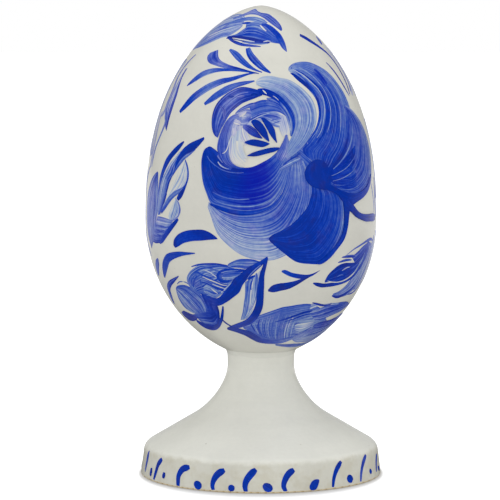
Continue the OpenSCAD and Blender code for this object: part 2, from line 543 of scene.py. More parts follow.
def pedestalSide():
    # half outline of the pedestal, from the table to the joint
    p = pedestal
    rimTop = np.array([p["footRadius"] - (p["rim"] - p["edge"]) * math.tan(p["lean"]), p["rim"]])
    mid = rimTop - p["shoulder"] * np.array([math.cos(p["lean"]), math.sin(p["lean"])])
    coneLow = mid + p["shoulder"] * np.array([math.sin(p["slope"]), math.cos(p["slope"])])
    waist = np.array([p["waistRadius"], p["top"] - p["waistDrop"]])
    coneHigh = np.array([0.0, waist[1] - p["cove"]])
    coneHigh[0] = coneLow[0] - (coneHigh[1] - coneLow[1]) / math.tan(p["slope"])
    meet = np.array([waist[0], coneHigh[1] + (coneHigh[0] - waist[0]) * math.tan(p["slope"])])
    seat = np.array([p["seatRadius"], p["top"]])
    low = np.array([p["footRadius"] - p["edge"], 0.0])
    turn = np.linspace(0, p["edgeTurn"], 6)
    edge = low + p["edge"] * np.stack([np.sin(turn), 1 - np.cos(turn)], 1)
    arc = np.linspace(p["lean"], math.pi / 2 - p["slope"], 15)
    return np.concatenate([
        edge,
        straight(edge[-1], rimTop, 16)[:-1],
        mid + p["shoulder"] * np.stack([np.cos(arc), np.sin(arc)], 1),
        straight(coneLow, coneHigh, 14),
        bezier(coneHigh, coneHigh + p["covePull"] * (meet - coneHigh),
               waist + p["covePull"] * (meet - waist), waist, 40),
        bezier(waist, waist + p["waistPull"], seat + p["seatPull"], seat, 8),
    ])


def meshPiece(name, verts, faces, material, node=None):
    mesh = bpy.data.meshes.new(name)
    mesh.from_pydata([tuple(v) for v in verts], [], faces)
    mesh.update()
    mesh.polygons.foreach_set("use_smooth", [True] * len(mesh.polygons))
    mesh.materials.append(material)
    piece = bpy.data.objects.new(name, mesh)
    bpy.context.scene.collection.objects.link(piece)
    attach(piece, "root")
    if node:
        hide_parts(node)
    return piece


def spun(side, segments, wobble=None):
    # one ring of points for each (radius, height)
    ang = np.arange(segments) * 2 * math.pi / segments
    rows = []
    for k, (r, z) in enumerate(side):
        if wobble:
            r = r + wobble(ang, k, z)
        rows.append(np.stack([r * np.sin(ang), -r * np.cos(ang), np.full(segments, z)], 1))
    return np.concatenate(rows)


def bands(rings, segments, closed=False):
    # faces between each ring of points and the next
    faces = []
    for k in range(rings if closed else rings - 1):
        a, b = k * segments, (k + 1) % rings * segments
        for i in range(segments):
            j = (i + 1) % segments
            faces.append((a + i, a + j, b + j, b + i))
    return faces


def turned(name, side, tip, segments, material, node, wobble=None):
    # spins a half outline round the axis; both ends close on the axis, the upper one at height tip
    verts = spun(side, segments, wobble)
    faces = bands(len(side), segments)
    low, high = len(verts), len(verts) + 1
    verts = np.concatenate([verts, [[0, 0, side[0][1]], [0, 0, tip]]])
    last = (len(side) - 1) * segments
    for i in range(segments):
        j = (i + 1) % segments
        faces.append((low, j, i))
        faces.append((high, last + i, last + j))
    return meshPiece(name, verts * mm, faces, material, node)


def unevenness(ang, z, waves):
    # each wave: how many go round, how far they lean with the height, where they start, and their share
    return sum(share * np.sin(count * ang + lean * z + start) for count, lean, start, share in waves)


def handSanded(ang, k, z):
    # fades out at the shoulder and at the sharp lower edge
    fade = max(0.0, min(1.0, (pedestal["sandedTo"] - z) / pedestal["sandFade"])) * min(1.0, z / 1.5)
    return -pedestal["sanding"] * fade * (1 + unevenness(ang, z, pedestal["sandWaves"]))


eggOutline = eggSide()
pedestalOutline = pedestalSide()
turned("eggBody", eggOutline[:-1], egg["top"], egg["segments"], primedEgg, "egg")
turned("pedestalBody", pedestalOutline, pedestal["top"], pedestal["segments"],
       primedStand, "pedestal", handSanded)
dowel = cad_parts["dowel"]
dowel.data.materials.clear()
dowel.data.materials.append(beechDowel)
print("turned shapes made")

# the filler bead between egg and neck, smoothed by finger, so not quite even
bead = {
    "rise": 0.85,      # how far it goes up the egg, and down the neck
    "drop": 1.4,
    "pull": 0.42,
    "uneven": 0.10,
    "waves": [(3, 0, 1, 1.0), (7, 0, 2, 0.6), (13, 0, 0, 0.4)],
    "inside": 11.4,
    "off": 0.1,        # its lower edge stands this far off the waist
    "segments": 240,
}


def beadRing():
    # its section: inside low, the hollow face from the neck up to the egg, inside high
    low = pedestal["top"] - bead["drop"]
    upper = eggOutline[eggOutline[:, 1] <= egg["foot"] + bead["rise"]][-1]
    seat = np.array([pedestal["seatRadius"], pedestal["top"]])
    under = np.array([pedestal["waistRadius"] + bead["off"], low])
    pull = bead["pull"]
    face = bezier(upper, upper + pull * (seat - upper), under + pull * (seat - under), under, 10)
    return [(bead["inside"], low), *face[::-1], tuple(upper), (bead["inside"], egg["foot"] + 0.05)]


def fingered(ang, k, z):
    # k counts the points of the section: nothing at its ends, most in the middle of the face
    body = math.sin(math.pi * min(k / 12, 1))
    return bead["uneven"] * body * unevenness(ang, z, bead["waves"]) / 2


section = beadRing()
meshPiece("seamBead", spun(section, bead["segments"], fingered) * mm,
          bands(len(section), bead["segments"], closed=True), primedBead, "seam_filler")
print("filler bead made")


# brush strokes
def surfaceOf(outline, middle):
    # lets a point be put on a turned shape: seen from middle on the axis, every direction meets it once
    d = outline - np.array([0, middle])
    angle = np.arctan2(d[:, 1], d[:, 0])
    grad = np.gradient(outline, axis=0)
    normal = np.stack([grad[:, 1], -grad[:, 0]], 1)
    normal /= np.linalg.norm(normal, axis=1)[:, None]
    order = np.argsort(angle)
    return {"middle": middle, "angle": angle[order], "reach": np.hypot(d[:, 0], d[:, 1])[order],
            "normal": normal[order], "outline": outline[np.argsort(outline[:, 1])]}


def settle(surface, pts):
    # drops points onto the surface; also gives the way up there
    rho = np.hypot(pts[:, 0], pts[:, 1])
    turn = np.arctan2(pts[:, 0], -pts[:, 1])
    a = np.arctan2(pts[:, 2] - surface["middle"], rho)
    reach = np.interp(a, surface["angle"], surface["reach"])
    nr = np.interp(a, surface["angle"], surface["normal"][:, 0])
    nz = np.interp(a, surface["angle"], surface["normal"][:, 1])
    r = reach * np.cos(a)
    up = np.stack([nr * np.sin(turn), -nr * np.cos(turn), nz], 1)
    return np.stack([r * np.sin(turn), -r * np.cos(turn), surface["middle"] + reach * np.sin(a)], 1), up


def place(surface, spots):
    # (degrees round from the front, height) to points in space
    spots = np.asarray(spots, float)
    r = np.interp(spots[:, 1], surface["outline"][:, 1], surface["outline"][:, 0])
    a = np.radians(spots[:, 0])
    return np.stack([r * np.sin(a), -r * np.cos(a), spots[:, 1]], 1)


def distances(pts):
    # how far along a line each of its points lies
    return np.concatenate([[0], np.cumsum(np.linalg.norm(np.diff(pts, axis=0), axis=1))])


def lengthOf(pts):
    return np.linalg.norm(np.diff(pts, axis=0), axis=1).sum()


def flow(pts, count):
    # a smooth line through the points, as count + 1 points at even steps
    pts = np.asarray(pts, float)
    if len(pts) == 2:
        t = np.linspace(0, 1, count + 1)[:, None]
        return pts[0] + (pts[1] - pts[0]) * t
    ends = np.concatenate([[2 * pts[0] - pts[1]], pts, [2 * pts[-1] - pts[-2]]])
    fine = []
    t = np.linspace(0, 1, brush["spanSteps"], endpoint=False)[:, None]
    for k in range(1, len(ends) - 2):
        p0, p1, p2, p3 = ends[k - 1:k + 3]
        d0, d1, d2 = (max(np.linalg.norm(b - a), 1e-6) ** 0.5 for a, b in ((p0, p1), (p1, p2), (p2, p3)))
        m1 = (p2 - p1) + d1 * ((p1 - p0) / d0 - (p2 - p0) / (d0 + d1))
        m2 = (p2 - p1) + d1 * ((p3 - p2) / d2 - (p3 - p1) / (d1 + d2))
        fine.append((2 * t ** 3 - 3 * t ** 2 + 1) * p1 + (t ** 3 - 2 * t ** 2 + t) * m1
                    + (3 * t ** 2 - 2 * t ** 3) * p2 + (t ** 3 - t ** 2) * m2)
    fine = np.concatenate(fine + [pts[-1:]])
    length = distances(fine)
    want = np.linspace(0, length[-1], count + 1)
    return np.stack([np.interp(want, length, fine[:, i]) for i in range(fine.shape[1])], 1)


def spread(values, t):
    # values at even steps, read at the places t between 0 and 1
    return np.interp(t, np.linspace(0, 1, len(values)), values)


def loads(rows, t, s):
    # how full the brush is, 0 to 9: one word for each stop along the stroke, one digit for each stop across
    across = [spread([int(c) / 9 for c in row], s) for row in rows.split()]
    return np.stack([spread(column, t) for column in np.transpose(across)], 1)


brush = {
    "step": 0.6,       # spacing of the mesh in a stroke
    "leastSteps": {"petal": 6, "touch": 14},
    "lift": 0.03,      # height of the first layer of paint over the ground
    "layer": 0.005,    # each later stroke lies this much higher
    "sink": 0.03,      # how far its edges go into the ground
    "border": 0.10,    # width over which a stroke's edge comes down
    "waver": 0.07,     # unsteadiness of the hand, and its share of a narrow stroke
    "waverShare": 0.05,
    "spanSteps": 24,   # how finely a line is smoothed between two of its spots
    "slowWave": (0.2, 0.35),      # radians for each millimetre of the stroke
    "quickWave": (0.6, 1.0),
}


class PaintLayer:
    # gathers the strokes of one motif into one mesh
    def __init__(self, name, surface, seed, put=None, size=1.0):
        # put moves the spots of a motif that is painted somewhere else, size is its scale there
        self.name, self.surface, self.put, self.size = name, surface, put, size
        self.rand = random.Random(seed)
        self.verts, self.normals, self.faces = [], [], []
        self.load, self.bristle, self.cast = [], [], []
        self.count, self.strokes = 0, 0

    def spots(self, spots):
        return place(self.surface, self.put(spots) if self.put else spots)

    def steps(self, length, kind):
        return max(brush["leastSteps"][kind], int(length / brush["step"]))

    def petal(self, inner, outer, load, drag=0.6, cast=0.0):
        # a stroke between two edge lines, both drawn the way the brush went
        a, b = self.spots(inner), self.spots(outer)
        n = self.steps(max(lengthOf(a), lengthOf(b)), "petal")
        self.sheet(flow(a, n), flow(b, n), load, drag, cast)

    def touch(self, spots, width, load, drag=0.35, cast=0.0):
        # a stroke along a centre line; width holds the widths at even steps, in millimetres
        c = self.spots(spots)
        n = self.steps(lengthOf(c), "touch")
        c, up = settle(self.surface, flow(c, n))
        side = np.cross(np.gradient(c, axis=0), up)
        side /= np.maximum(np.linalg.norm(side, axis=1), 1e-9)[:, None]
        w = flow(np.stack([np.linspace(0, 1, len(width)), width], 1), 60)
        half = np.interp(np.linspace(0, 1, n + 1), w[:, 0], w[:, 1])[:, None] * self.size / 2
        self.sheet(c - side * half, c + side * half, load, drag, cast)

    def waver(self, a, b):
        # the hand wavers a little along both edges
        wide = np.linalg.norm(b - a, axis=1)
        run = lengthOf((a + b) / 2) * np.linspace(0, 1, len(a))
        for edge, way in ((a, a - b), (b, b - a)):
            slow, quick = self.rand.uniform(*brush["slowWave"]), self.rand.uniform(*brush["quickWave"])
            slowStart, quickStart = self.rand.uniform(0, 6), self.rand.uniform(0, 6)
            wave = np.sin(run * slow + slowStart) + 0.5 * np.sin(run * quick + quickStart)
            amount = np.minimum(brush["waver"], brush["waverShare"] * wide) * wave / np.maximum(wide, 1e-6)
            edge += way * amount[:, None]

    def sheet(self, a, b, load, drag, cast):
        # the mesh of one stroke, from the points of its two edges
        wide = np.linalg.norm(b - a, axis=1)
        middle = (a + b) / 2
        self.strokes += 1
        self.waver(a, b)
        t = np.linspace(0, 1, len(a))
        s = np.linspace(0, 1, max(4, int(wide.max() / brush["step"])) + 1)
        border = min(0.2, brush["border"] / max(wide.mean(), 0.3))      # as a share of the width
        s = np.concatenate([[0, border], s[(s > border * 1.3) & (s < 1 - border * 1.3)], [1 - border, 1]])
        shape = (len(t), len(s))
        grid = a[:, None] * (1 - s)[None, :, None] + b[:, None] * s[None, :, None]
        flat, up = settle(self.surface, grid.reshape(-1, 3))
        lift = np.full(shape, brush["lift"] + brush["layer"] * self.strokes)
        lift[:, 0] = lift[:, -1] = lift[0, :] = lift[-1, :] = -brush["sink"]
        flat = flat + up * lift.reshape(-1)[:, None]
        # millimetres across and along for the bristle marks, from a place of their own, and the drag
        start = self.rand.uniform(0, 90)
        bristle = np.zeros(shape + (3,))
        bristle[:, :, 0] = s[None, :] * np.percentile(wide, 75) + start
        bristle[:, :, 1] = distances(middle)[:, None] + start * 3
        bristle[:, :, 2] = drag
        self.verts.append(flat)
        self.normals.append(up)
        self.load.append(loads(load, t, s).reshape(-1))
        self.bristle.append(bristle.reshape(-1, 3))
        self.cast.append(np.repeat(spread(np.atleast_1d(cast), t), len(s)))
        self.weave(flat.reshape(shape + (3,)), up.reshape(shape + (3,)))

    def weave(self, grid, up):
        # faces of a stroke, turned to look away from the wood
        rows, cols = grid.shape[:2]
        i, j = rows // 2, cols // 2
        looks = np.cross(grid[i + 1, j] - grid[i, j], grid[i, j + 1] - grid[i, j])
        outward = np.dot(looks, up[i, j]) > 0
        for i in range(rows - 1):
            for j in range(cols - 1):
                k = self.count + i * cols + j
                face = (k, k + cols, k + cols + 1, k + 1)
                self.faces.append(face if outward else face[::-1])
        self.count += rows * cols

    def finish(self, slot, material):
        mesh = meshPiece(self.name, np.concatenate(self.verts) * mm, self.faces, material).data
        for label, values in (("paintLoad", self.load), ("paintCastAndHaze", self.cast)):
            layer = mesh.attributes.new(label, "FLOAT", "POINT")
            layer.data.foreach_set("value", np.concatenate(values).astype(np.float32))
        layer = mesh.attributes.new("bristle", "FLOAT_VECTOR", "POINT")
        layer.data.foreach_set("vector", np.concatenate(self.bristle).astype(np.float32).reshape(-1))
        # varnish levels the paint, so it shades as the wood under it
        mesh.normals_split_custom_set_from_vertices([tuple(v) for v in np.concatenate(self.normals)])
        print(self.name, "has", self.strokes, "strokes,", len(mesh.polygons), "faces")


# The motifs. Spots are (degrees round from the front, height), and a later stroke lies over an earlier one.
# drag says how dry the brush was; cast runs from -1, violet, through 0, cobalt, to 1, ultramarine, and its
# violet end is partly a painted reflection of the lamps' haze in the varnish.

# the rose: swirl and petals first, then the bowl, the two arcs, the open heart and the node
def paintSwirl(petal, touch):
    # thin wash where the petals meet under the node
    petal([(8, 121), (12, 112), (20, 104), (32, 101)],
          [(14, 124), (24, 123), (36, 118), (50, 106)], "66 6666 6676 77", drag=0.5)
    # pale lower swirl, swept from the left round to the right and up
    petal([(-26.5, 102.5), (-21, 100.7), (-14, 99.3), (-7, 99), (0, 100), (5.5, 101.7), (9, 104.5),
           (12, 108.5), (14, 114), (16, 118.3)],
          [(-27, 101), (-25, 97.5), (-22, 92), (-18, 88.5), (-12, 85), (-5.5, 83), (0, 82.4), (7, 82.6),
           (14, 85), (20, 91), (24.5, 100), (25.5, 108), (21.5, 117.5)],
          "5433 65433 65433 65433 66655 66665 65565 55554", drag=0.7, cast=-0.15)
    # deep lower petal, from the node down and curling in to a point
    petal([(25.5, 109.5), (25, 105.5), (22.5, 101), (18.5, 97.6), (14, 94.7), (9, 92.8), (5, 91.4),
           (3.3, 89.9)],
          [(36, 107.5), (43, 104), (45.3, 99.5), (45, 94), (42.3, 88.5), (37.5, 83.8), (32, 80.6),
           (24.5, 80.6), (17.5, 81.6), (11, 84.8), (6, 87.8), (3.4, 89.6)],
          "76776 98776 98875 99886 99988 99998 99999 99999")


# over the shoulder and down to the node
def paintUpperPetal(petal, touch):
    petal([(19, 148.2), (21.5, 146.8), (26, 144.8), (30, 142), (33.8, 138.5), (34.5, 134.5), (32, 130),
           (28.5, 126), (24.6, 123), (21.2, 121), (22.8, 118.8), (26, 117.2)],
          [(19.5, 149), (23, 150.3), (30, 151), (38, 150.8), (45.5, 149.5), (53, 147), (58.5, 143.3),
           (61.5, 139.5), (62.5, 134.5), (59, 127), (54, 120.5), (46, 114.5), (37, 110.5)],
          "3344444 4455655 6666555 7667655 7677665 7777676 7777766 8778776 7678877", drag=0.8)
    # its dark near edge, and the lines that follow the bend
    petal([(20, 147.2), (23.5, 145.2), (27, 143.4), (30.5, 141.6), (33.8, 139.4), (35, 136.5)],
          [(20.6, 147.7), (26.3, 146), (30.5, 144), (33.6, 141.7), (35.4, 139), (35.8, 136.3)],
          "89 99 999 998 88", cast=-0.1)
    touch([(21, 149.4), (27.5, 146.3), (32, 142.9), (34.8, 139), (35.2, 134.8), (33.8, 131), (31, 127.6)],
          [0.3, 0.8, 1, 1, 0.9, 0.7, 0.3], "7 8 8 8 7", drag=0.5)
    for spots, tone in (([(21.5, 149), (26, 147.4), (29.5, 146.2), (34, 143.8), (38, 141.2), (39.6, 138),
                          (38.8, 134.6), (36.5, 130.7), (34, 127.4), (30, 124.4)], "4"),
                        ([(21.2, 148.1), (26, 146.5), (30, 144.8), (33.4, 142.5), (35.8, 140), (36.8, 137),
                          (36.2, 133.8), (34.2, 130.4), (31, 127.3), (27, 124.6)], "5"),
                        ([(27, 149.3), (33, 147.8), (38.5, 145.2), (42.3, 141.8), (43.8, 138), (43.3, 134),
                          (41, 130), (37, 126)], "5")):
        touch(spots, [0.3, 0.7, 0.8, 0.7, 0.6, 0.3], tone, drag=0.9)
    touch([(24.5, 148.4), (29.5, 146.9), (34, 144.8), (38.2, 142.2), (40.8, 139), (41.3, 136), (40.2, 132.2),
           (37.4, 128.4), (33.7, 125.3), (29.2, 122.6)], [0.4, 0.9, 1.1, 1.1, 1, 0.4], "98 99 98 98 88",
          drag=0.6)
    touch([(30, 142.5), (35.2, 138.4), (35, 133.5), (32, 129), (27.5, 125.4), (22.5, 122)],
          [0.4, 0.9, 1, 0.9, 0.4], "7 8 7 7", drag=0.6)
    petal([(37.5, 147.5), (41.5, 144.8), (44, 141.5)],
          [(41, 149), (45.5, 146.8), (48, 143)], "56 786 785 66", drag=0.8, cast=0.45)


# half hidden round the right side
def paintOuterPetal(petal, touch):
    petal([(55.5, 134.8), (55.5, 131), (53.5, 127), (50.5, 123.3), (46, 119.6), (41.5, 116.8), (36, 113.6)],
          [(57.5, 135.3), (63.5, 133.5), (69.5, 130.3), (74.5, 126.3), (77.5, 121.5), (77.2, 116.5),
           (75, 111.5), (71.5, 107.3), (65, 104.5), (57.5, 102.8), (48, 103.5), (38, 107.5)],
          "677654 6777654 7666554 7767655 8877766 9987777 9998887", cast=[-0.35, -0.3, -0.2, 0.1])
    petal([(36, 109.6), (40.5, 107.8), (46, 106.4), (51.5, 105.8), (56, 107)],
          [(36, 113.2), (40.5, 115), (45.5, 116.6), (51, 118.6), (56, 121)], "999 9889 98889 8889 778",
          drag=0.8, cast=[0.1, 0.2, 0])
    touch([(56.4, 135), (57, 132), (54.5, 127.5), (50.5, 122.6), (44.5, 118), (37, 113.6)],
          [0.5, 1.3, 1.6, 2, 2.1, 0.9], "76 87 98 99", drag=0.5, cast=-0.2)
    touch([(57.5, 121.5), (55, 118.5), (52.5, 115.5), (50.5, 112.2)], [0.5, 1.8, 1.8, 0.6], "8 9 8", drag=0.4)
    touch([(59.3, 133), (59.3, 129.5), (57.3, 125.8), (53.8, 122.2), (49, 118.8), (43.5, 115.8), (38, 113.3)],
          [0.4, 1, 1.2, 1.1, 1, 0.8, 0.4], "55 55 56 65", drag=0.7)
    touch([(52, 117.5), (47, 114.6), (41, 112), (37, 110.8)], [0.4, 1, 1, 0.4], "9", drag=0.4)
    for spots in ([(36.5, 111.2), (41.5, 112.2), (47.5, 113.7), (53, 116), (57, 118.4)],
                  [(37, 109.4), (42.5, 110), (48.5, 111.2), (54, 113), (57.5, 115.7)],
                  [(38, 108.2), (44.5, 107.8), (50.5, 108.5), (56, 110.2)],
                  [(40, 106.9), (45, 106.2), (51, 106.2), (57, 107.3)]):
        touch(spots, [0.2, 0.4, 0.4, 0.2], "4 5 6", drag=0.9)
    petal([(73, 108.5), (69.5, 105.8), (64, 103.6), (57.5, 102.4)],
          [(69, 110), (66, 107.6), (61.5, 105.8), (56, 104.6)], "67 78 88 99", drag=0.4, cast=-0.7)


# deep front bowl under the heart
def paintBowl(petal, touch):
    petal([(-26.5, 121.8), (-22.8, 120), (-20, 117.2), (-16, 115.3), (-12, 114.9), (-8, 114.8), (-5, 115.1),
           (-2, 115.9), (0.5, 116.8), (2.8, 117.7), (5, 118.7), (7, 119.7), (9.5, 121.3), (11.5, 122.8),
           (13.6, 126.4)],
          [(-27.5, 122), (-30.3, 120.8), (-31.5, 117.5), (-31, 113.5), (-29.5, 108.5), (-27.5, 105.2),
           (-25, 102), (-18, 100.3), (-10, 99.2), (-2, 99.5), (4, 101), (8.5, 104.3), (11.5, 108.5),
           (13.5, 113.5), (15, 120), (14.2, 125)],
          "999999 999998 9999987 9999986 9999875 9999876 9998876 8887655 7776555 666555 55555 5555", drag=0.7,
          cast=[0, 0, 0, 0.1, 0.7, 0.8, 0.1, -0.1, -0.2])
    # contour under the bowl
    touch([(-25.8, 102), (-20.5, 100.6), (-14, 99.4), (-7, 99.1), (0, 99.9), (5.5, 101.7), (9.5, 104.7),
           (12, 108.6), (13.4, 113)], [0.8, 1.7, 1.7, 1.5, 1.3, 1, 0.8, 0.5], "8 8 8 7 6", drag=0.5)
    touch([(-24.5, 104.2), (-20, 102.6), (-13, 101.6), (-6, 101.5), (0, 102.4), (5, 104.3)],
          [0.3, 0.8, 1, 0.8, 0.3], "6 5 6", drag=0.8)
    touch([(-25, 106.3), (-19, 104.6), (-12, 103.8), (-5, 104)], [0.2, 0.6, 0.6, 0.2], "6", drag=0.8)
    # turned lip at the upper left of the bowl
    petal([(-28.5, 120.5), (-25.5, 117.8), (-22, 115.6), (-18.5, 114.2), (-14.5, 113.8)],
          [(-26.8, 121.6), (-23.3, 120), (-20.5, 117.8), (-17.5, 115.8), (-14, 114.6)], "88 98 97 76",
          drag=0.4)
    petal([(-23.5, 119), (-21.3, 117.2), (-19.2, 115.9)],
          [(-22.6, 119.9), (-20.2, 118.3), (-18.2, 116.3)], "66 54 55", cast=-0.6)
    touch([(-28.8, 119), (-26.5, 117), (-23, 115.2), (-19.5, 113.9), (-15.5, 113.2), (-11, 113), (-8, 113.2)],
          [0.3, 0.5, 0.5, 0.4, 0.3], "5 6 5")
    touch([(-22.5, 117), (-20.8, 115.6), (-18.5, 114.7), (-15.5, 114.2)], [0.4, 0.8, 0.6, 0.3], "2 3 5",
          drag=0.8)


# pale ring round the right of the heart, dark arc over its top and left
def paintArcs(petal, touch):
    petal([(-3.3, 143.5), (1.4, 142.3), (6.2, 141.2), (10.5, 139.6), (13.8, 137.8), (16.8, 135.4),
           (18.3, 132.8), (18.3, 130), (17, 127.2), (15.4, 124.9), (13.2, 122.4), (11.5, 119.2)],
          [(-3.5, 144.6), (0, 146), (6, 146.4), (12.5, 145.7), (18.5, 145), (23.8, 143.2), (28.2, 140.8),
           (31.6, 138), (32.8, 134.8), (32, 131.2), (29.4, 127.6), (25.8, 124.6), (21.5, 121.8),
           (16.5, 119.2), (12.4, 117.6)], "2221 3332 44433 54443 44443 44443 44444 44454 44444", drag=0.5)
    petal([(0.5, 139.6), (-3.5, 138.8), (-7.5, 137.9), (-12, 136.7), (-15.5, 134.8), (-18, 132.9),
           (-20, 130.4), (-22, 127.4), (-22.8, 126), (-23.3, 125)],
          [(1, 141), (-2, 141.6), (-7, 142.4), (-12.5, 142.6), (-18, 141.4), (-23, 139.4), (-26.6, 136.8),
           (-28.2, 134), (-28.4, 131), (-27.3, 128), (-25.3, 125.8), (-23.5, 125)],
          "99 9889 8878 77667 77667 77668 77678 77678 7778 778", drag=0.7,
          cast=[-0.1, -0.3, -0.5, -0.3, -0.4])
    touch([(-7, 140.8), (-13, 140), (-18.5, 137.8), (-22.5, 134.4)], [0.2, 0.7, 0.8, 0.2], "5 5 6", drag=0.8,
          cast=-0.6)
    touch([(-1, 139.5), (-6, 138.7), (-11, 137.4), (-15, 135.3)], [0.3, 0.6, 0.7, 0.3], "8 9 8", drag=0.5,
          cast=-0.2)


# pale violet washes, partly the paint and partly a painted reflection, the key lamp's haze in the varnish
# over the heart; then the ring
def paintHeart(petal, touch):
    petal([(-13.5, 132.8), (-15.8, 130), (-17, 126.5), (-17.2, 122.5), (-16.6, 119), (-14, 116.2),
           (-9, 115.2)],
          [(-8.5, 132.8), (-7.5, 130.5), (-8.5, 127), (-10.5, 123), (-12, 119.5), (-11, 117), (-8, 115.6)],
          "22 332 432 321 210 10 00", cast=-0.7)
    petal([(-14, 133), (-9, 129), (-2, 130.5), (6, 131.5), (13.5, 130)],
          [(-10, 134.5), (-4, 134.5), (2, 134.8), (8, 134.8), (14.5, 132.8)], "22 221 332 332 22", cast=-0.5)
    petal([(-13, 129.5), (-12.5, 125), (-9.5, 122)],
          [(-9, 131), (-7, 127), (-5, 123.5)], "12 22 11", drag=0.5, cast=-0.8)
    petal([(-15, 127.5), (-15.5, 122.5), (-14, 118.5), (-10, 116.2)],
          [(-10.2, 128.6), (-10.4, 124), (-9.6, 120), (-6.5, 117)], "22 221 211 10", drag=0.3)
    petal([(8.5, 133.5), (8.8, 130.5), (10, 127.5), (11.5, 125.2)],
          [(14.5, 133), (15.8, 130.3), (15.8, 127.5), (14.3, 125.8)], "32 23 22 10", drag=0.5, cast=-0.5)
    petal([(-15.5, 132), (-13.5, 130.2), (-11, 129), (-8, 129.4), (-5.6, 131.4)],
          [(-14, 133.5), (-11.5, 134.3), (-8.5, 135), (-6.2, 134.8), (-4.6, 133.6)], "23 344 435 455 66",
          cast=-0.6)
    for spots in ([(-13.5, 132.6), (-11.5, 133.4), (-9, 133.6)],
                  [(-9.5, 131.4), (-8, 132), (-6.8, 133.2)],
                  [(-12.5, 131), (-11, 131.6), (-10, 131.2)]):
        touch(spots, [0.3, 1, 0.3], "4 5 3", drag=0.6, cast=-0.6)
    petal([(-6, 131.6), (-2, 132.7), (2, 133.5), (6, 134), (10.5, 133.6), (14.5, 131.9)],
          [(-7, 136.6), (-4, 137.4), (1, 138.2), (6, 137.8), (10, 136.6), (13, 134.7), (15, 132.4)],
          "566 6677 6677 6667 6677 6677 566", drag=0.5, cast=-0.1)
    touch([(-14.8, 133.3), (-12.3, 134.6), (-9.3, 135.6), (-6, 136.4), (-3, 136.9)],
          [0.3, 0.9, 1.3, 1.6, 1], "66 66 76 66", drag=0.6, cast=-0.3)
    touch([(3, 138.7), (6.5, 138.1), (9.7, 136.9), (12.6, 135.1), (14.8, 132.9)], [0.5, 1.3, 1.3, 1.1, 0.4],
          "55 65 66 56", drag=0.7, cast=-0.2)
    petal([(-7.8, 130.4), (-4, 131.2), (-1, 131.8), (1, 131.3), (4, 130.2), (7, 129), (10.5, 128.4)],
          [(-7.8, 131.2), (-5, 132), (-1.5, 133.4), (1.5, 134), (5, 134), (8.5, 134), (12, 133)],
          "67 77 76 66 455 345 122", drag=1, cast=-0.3)
    touch([(-7, 130.5), (-4, 131.6), (0, 132.8), (4, 133.5), (8, 133.8)], [0.2, 0.4, 0.5, 0.4, 0.2], "2 3 4")
    touch([(5, 131), (7.5, 131.5), (10.8, 132)], [0.3, 0.8, 0.3], "7 6 5", cast=-0.3)
    touch([(5.5, 129.7), (8, 130.4), (10.8, 130.8)], [0.3, 0.7, 0.3], "6 5", cast=-0.3)
    petal([(-12, 132.6), (-14.6, 130.8), (-16.2, 128.5), (-16.8, 125.5), (-16.6, 122), (-16.4, 118.8),
           (-14.5, 116.4), (-11.5, 115.2), (-8, 114.9)],
          [(-12.4, 133.3), (-15.8, 132.9), (-19, 131.3), (-21.2, 128.6), (-22.8, 125.3), (-23.2, 121.5),
           (-21.8, 118.6), (-18.5, 115.9), (-13, 114.6), (-8, 114.4)],
          "45 5566 5677 5676 6677 6677 6777 6787 7888", drag=0.7, cast=[-0.6, -0.5, -0.3, 0])
    touch([(-15.8, 131.5), (-13.8, 132), (-12, 132.4), (-10.4, 132.2)], [0.6, 1.1, 0.9, 0.4], "5 5 4",
          cast=-0.3)
    touch([(-20.8, 119.6), (-19, 119.8), (-17.6, 121.2), (-16.6, 123.8), (-14.8, 126.6)],
          [0.2, 0.6, 0.5, 0.4, 0.2], "1 2 1")
    petal([(-2, 140), (3, 139.6), (7.5, 138.2), (10.5, 136.6), (13.2, 134.2), (14.8, 131.6), (15.2, 129),
           (15.2, 127), (15.4, 125.6)],
          [(-2.5, 142), (1, 142.2), (5.5, 141.6), (10, 140.2), (14, 138), (17, 135.6), (19, 132.8),
           (18.9, 130), (17.8, 127.4), (16, 125.5)], "999 8998 7898 73887 74786 73787 64687", drag=0.8,
          cast=[0.15, 0, 0])
    # two painted glints: white spots on the dark ring where the varnish catches the lamp
    touch([(0.6, 141.6), (2, 140.8), (3.4, 140)], [0.2, 0.8, 0.2], "0")
    touch([(6.6, 139.6), (8.6, 138.8), (10.4, 137.8)], [0.2, 0.5, 0.2], "1")
    touch([(2, 137.8), (6, 137.4), (9.5, 136.6), (12.5, 134.6), (14.6, 132), (15.4, 129.4), (15.5, 127)],
          [0.4, 0.9, 1.2, 1.2, 0.9, 0.4], "5 7 6 4", drag=0.7, cast=-0.15)
    petal([(13, 126.6), (11.5, 124.4), (9.5, 122), (7.5, 120.1), (6.8, 118)],
          [(13.8, 126.6), (14, 124.2), (13.7, 121.8), (12.8, 119.2), (10.4, 116.6)], "66 655 7654 6654 7665",
          drag=0.7, cast=-0.45)


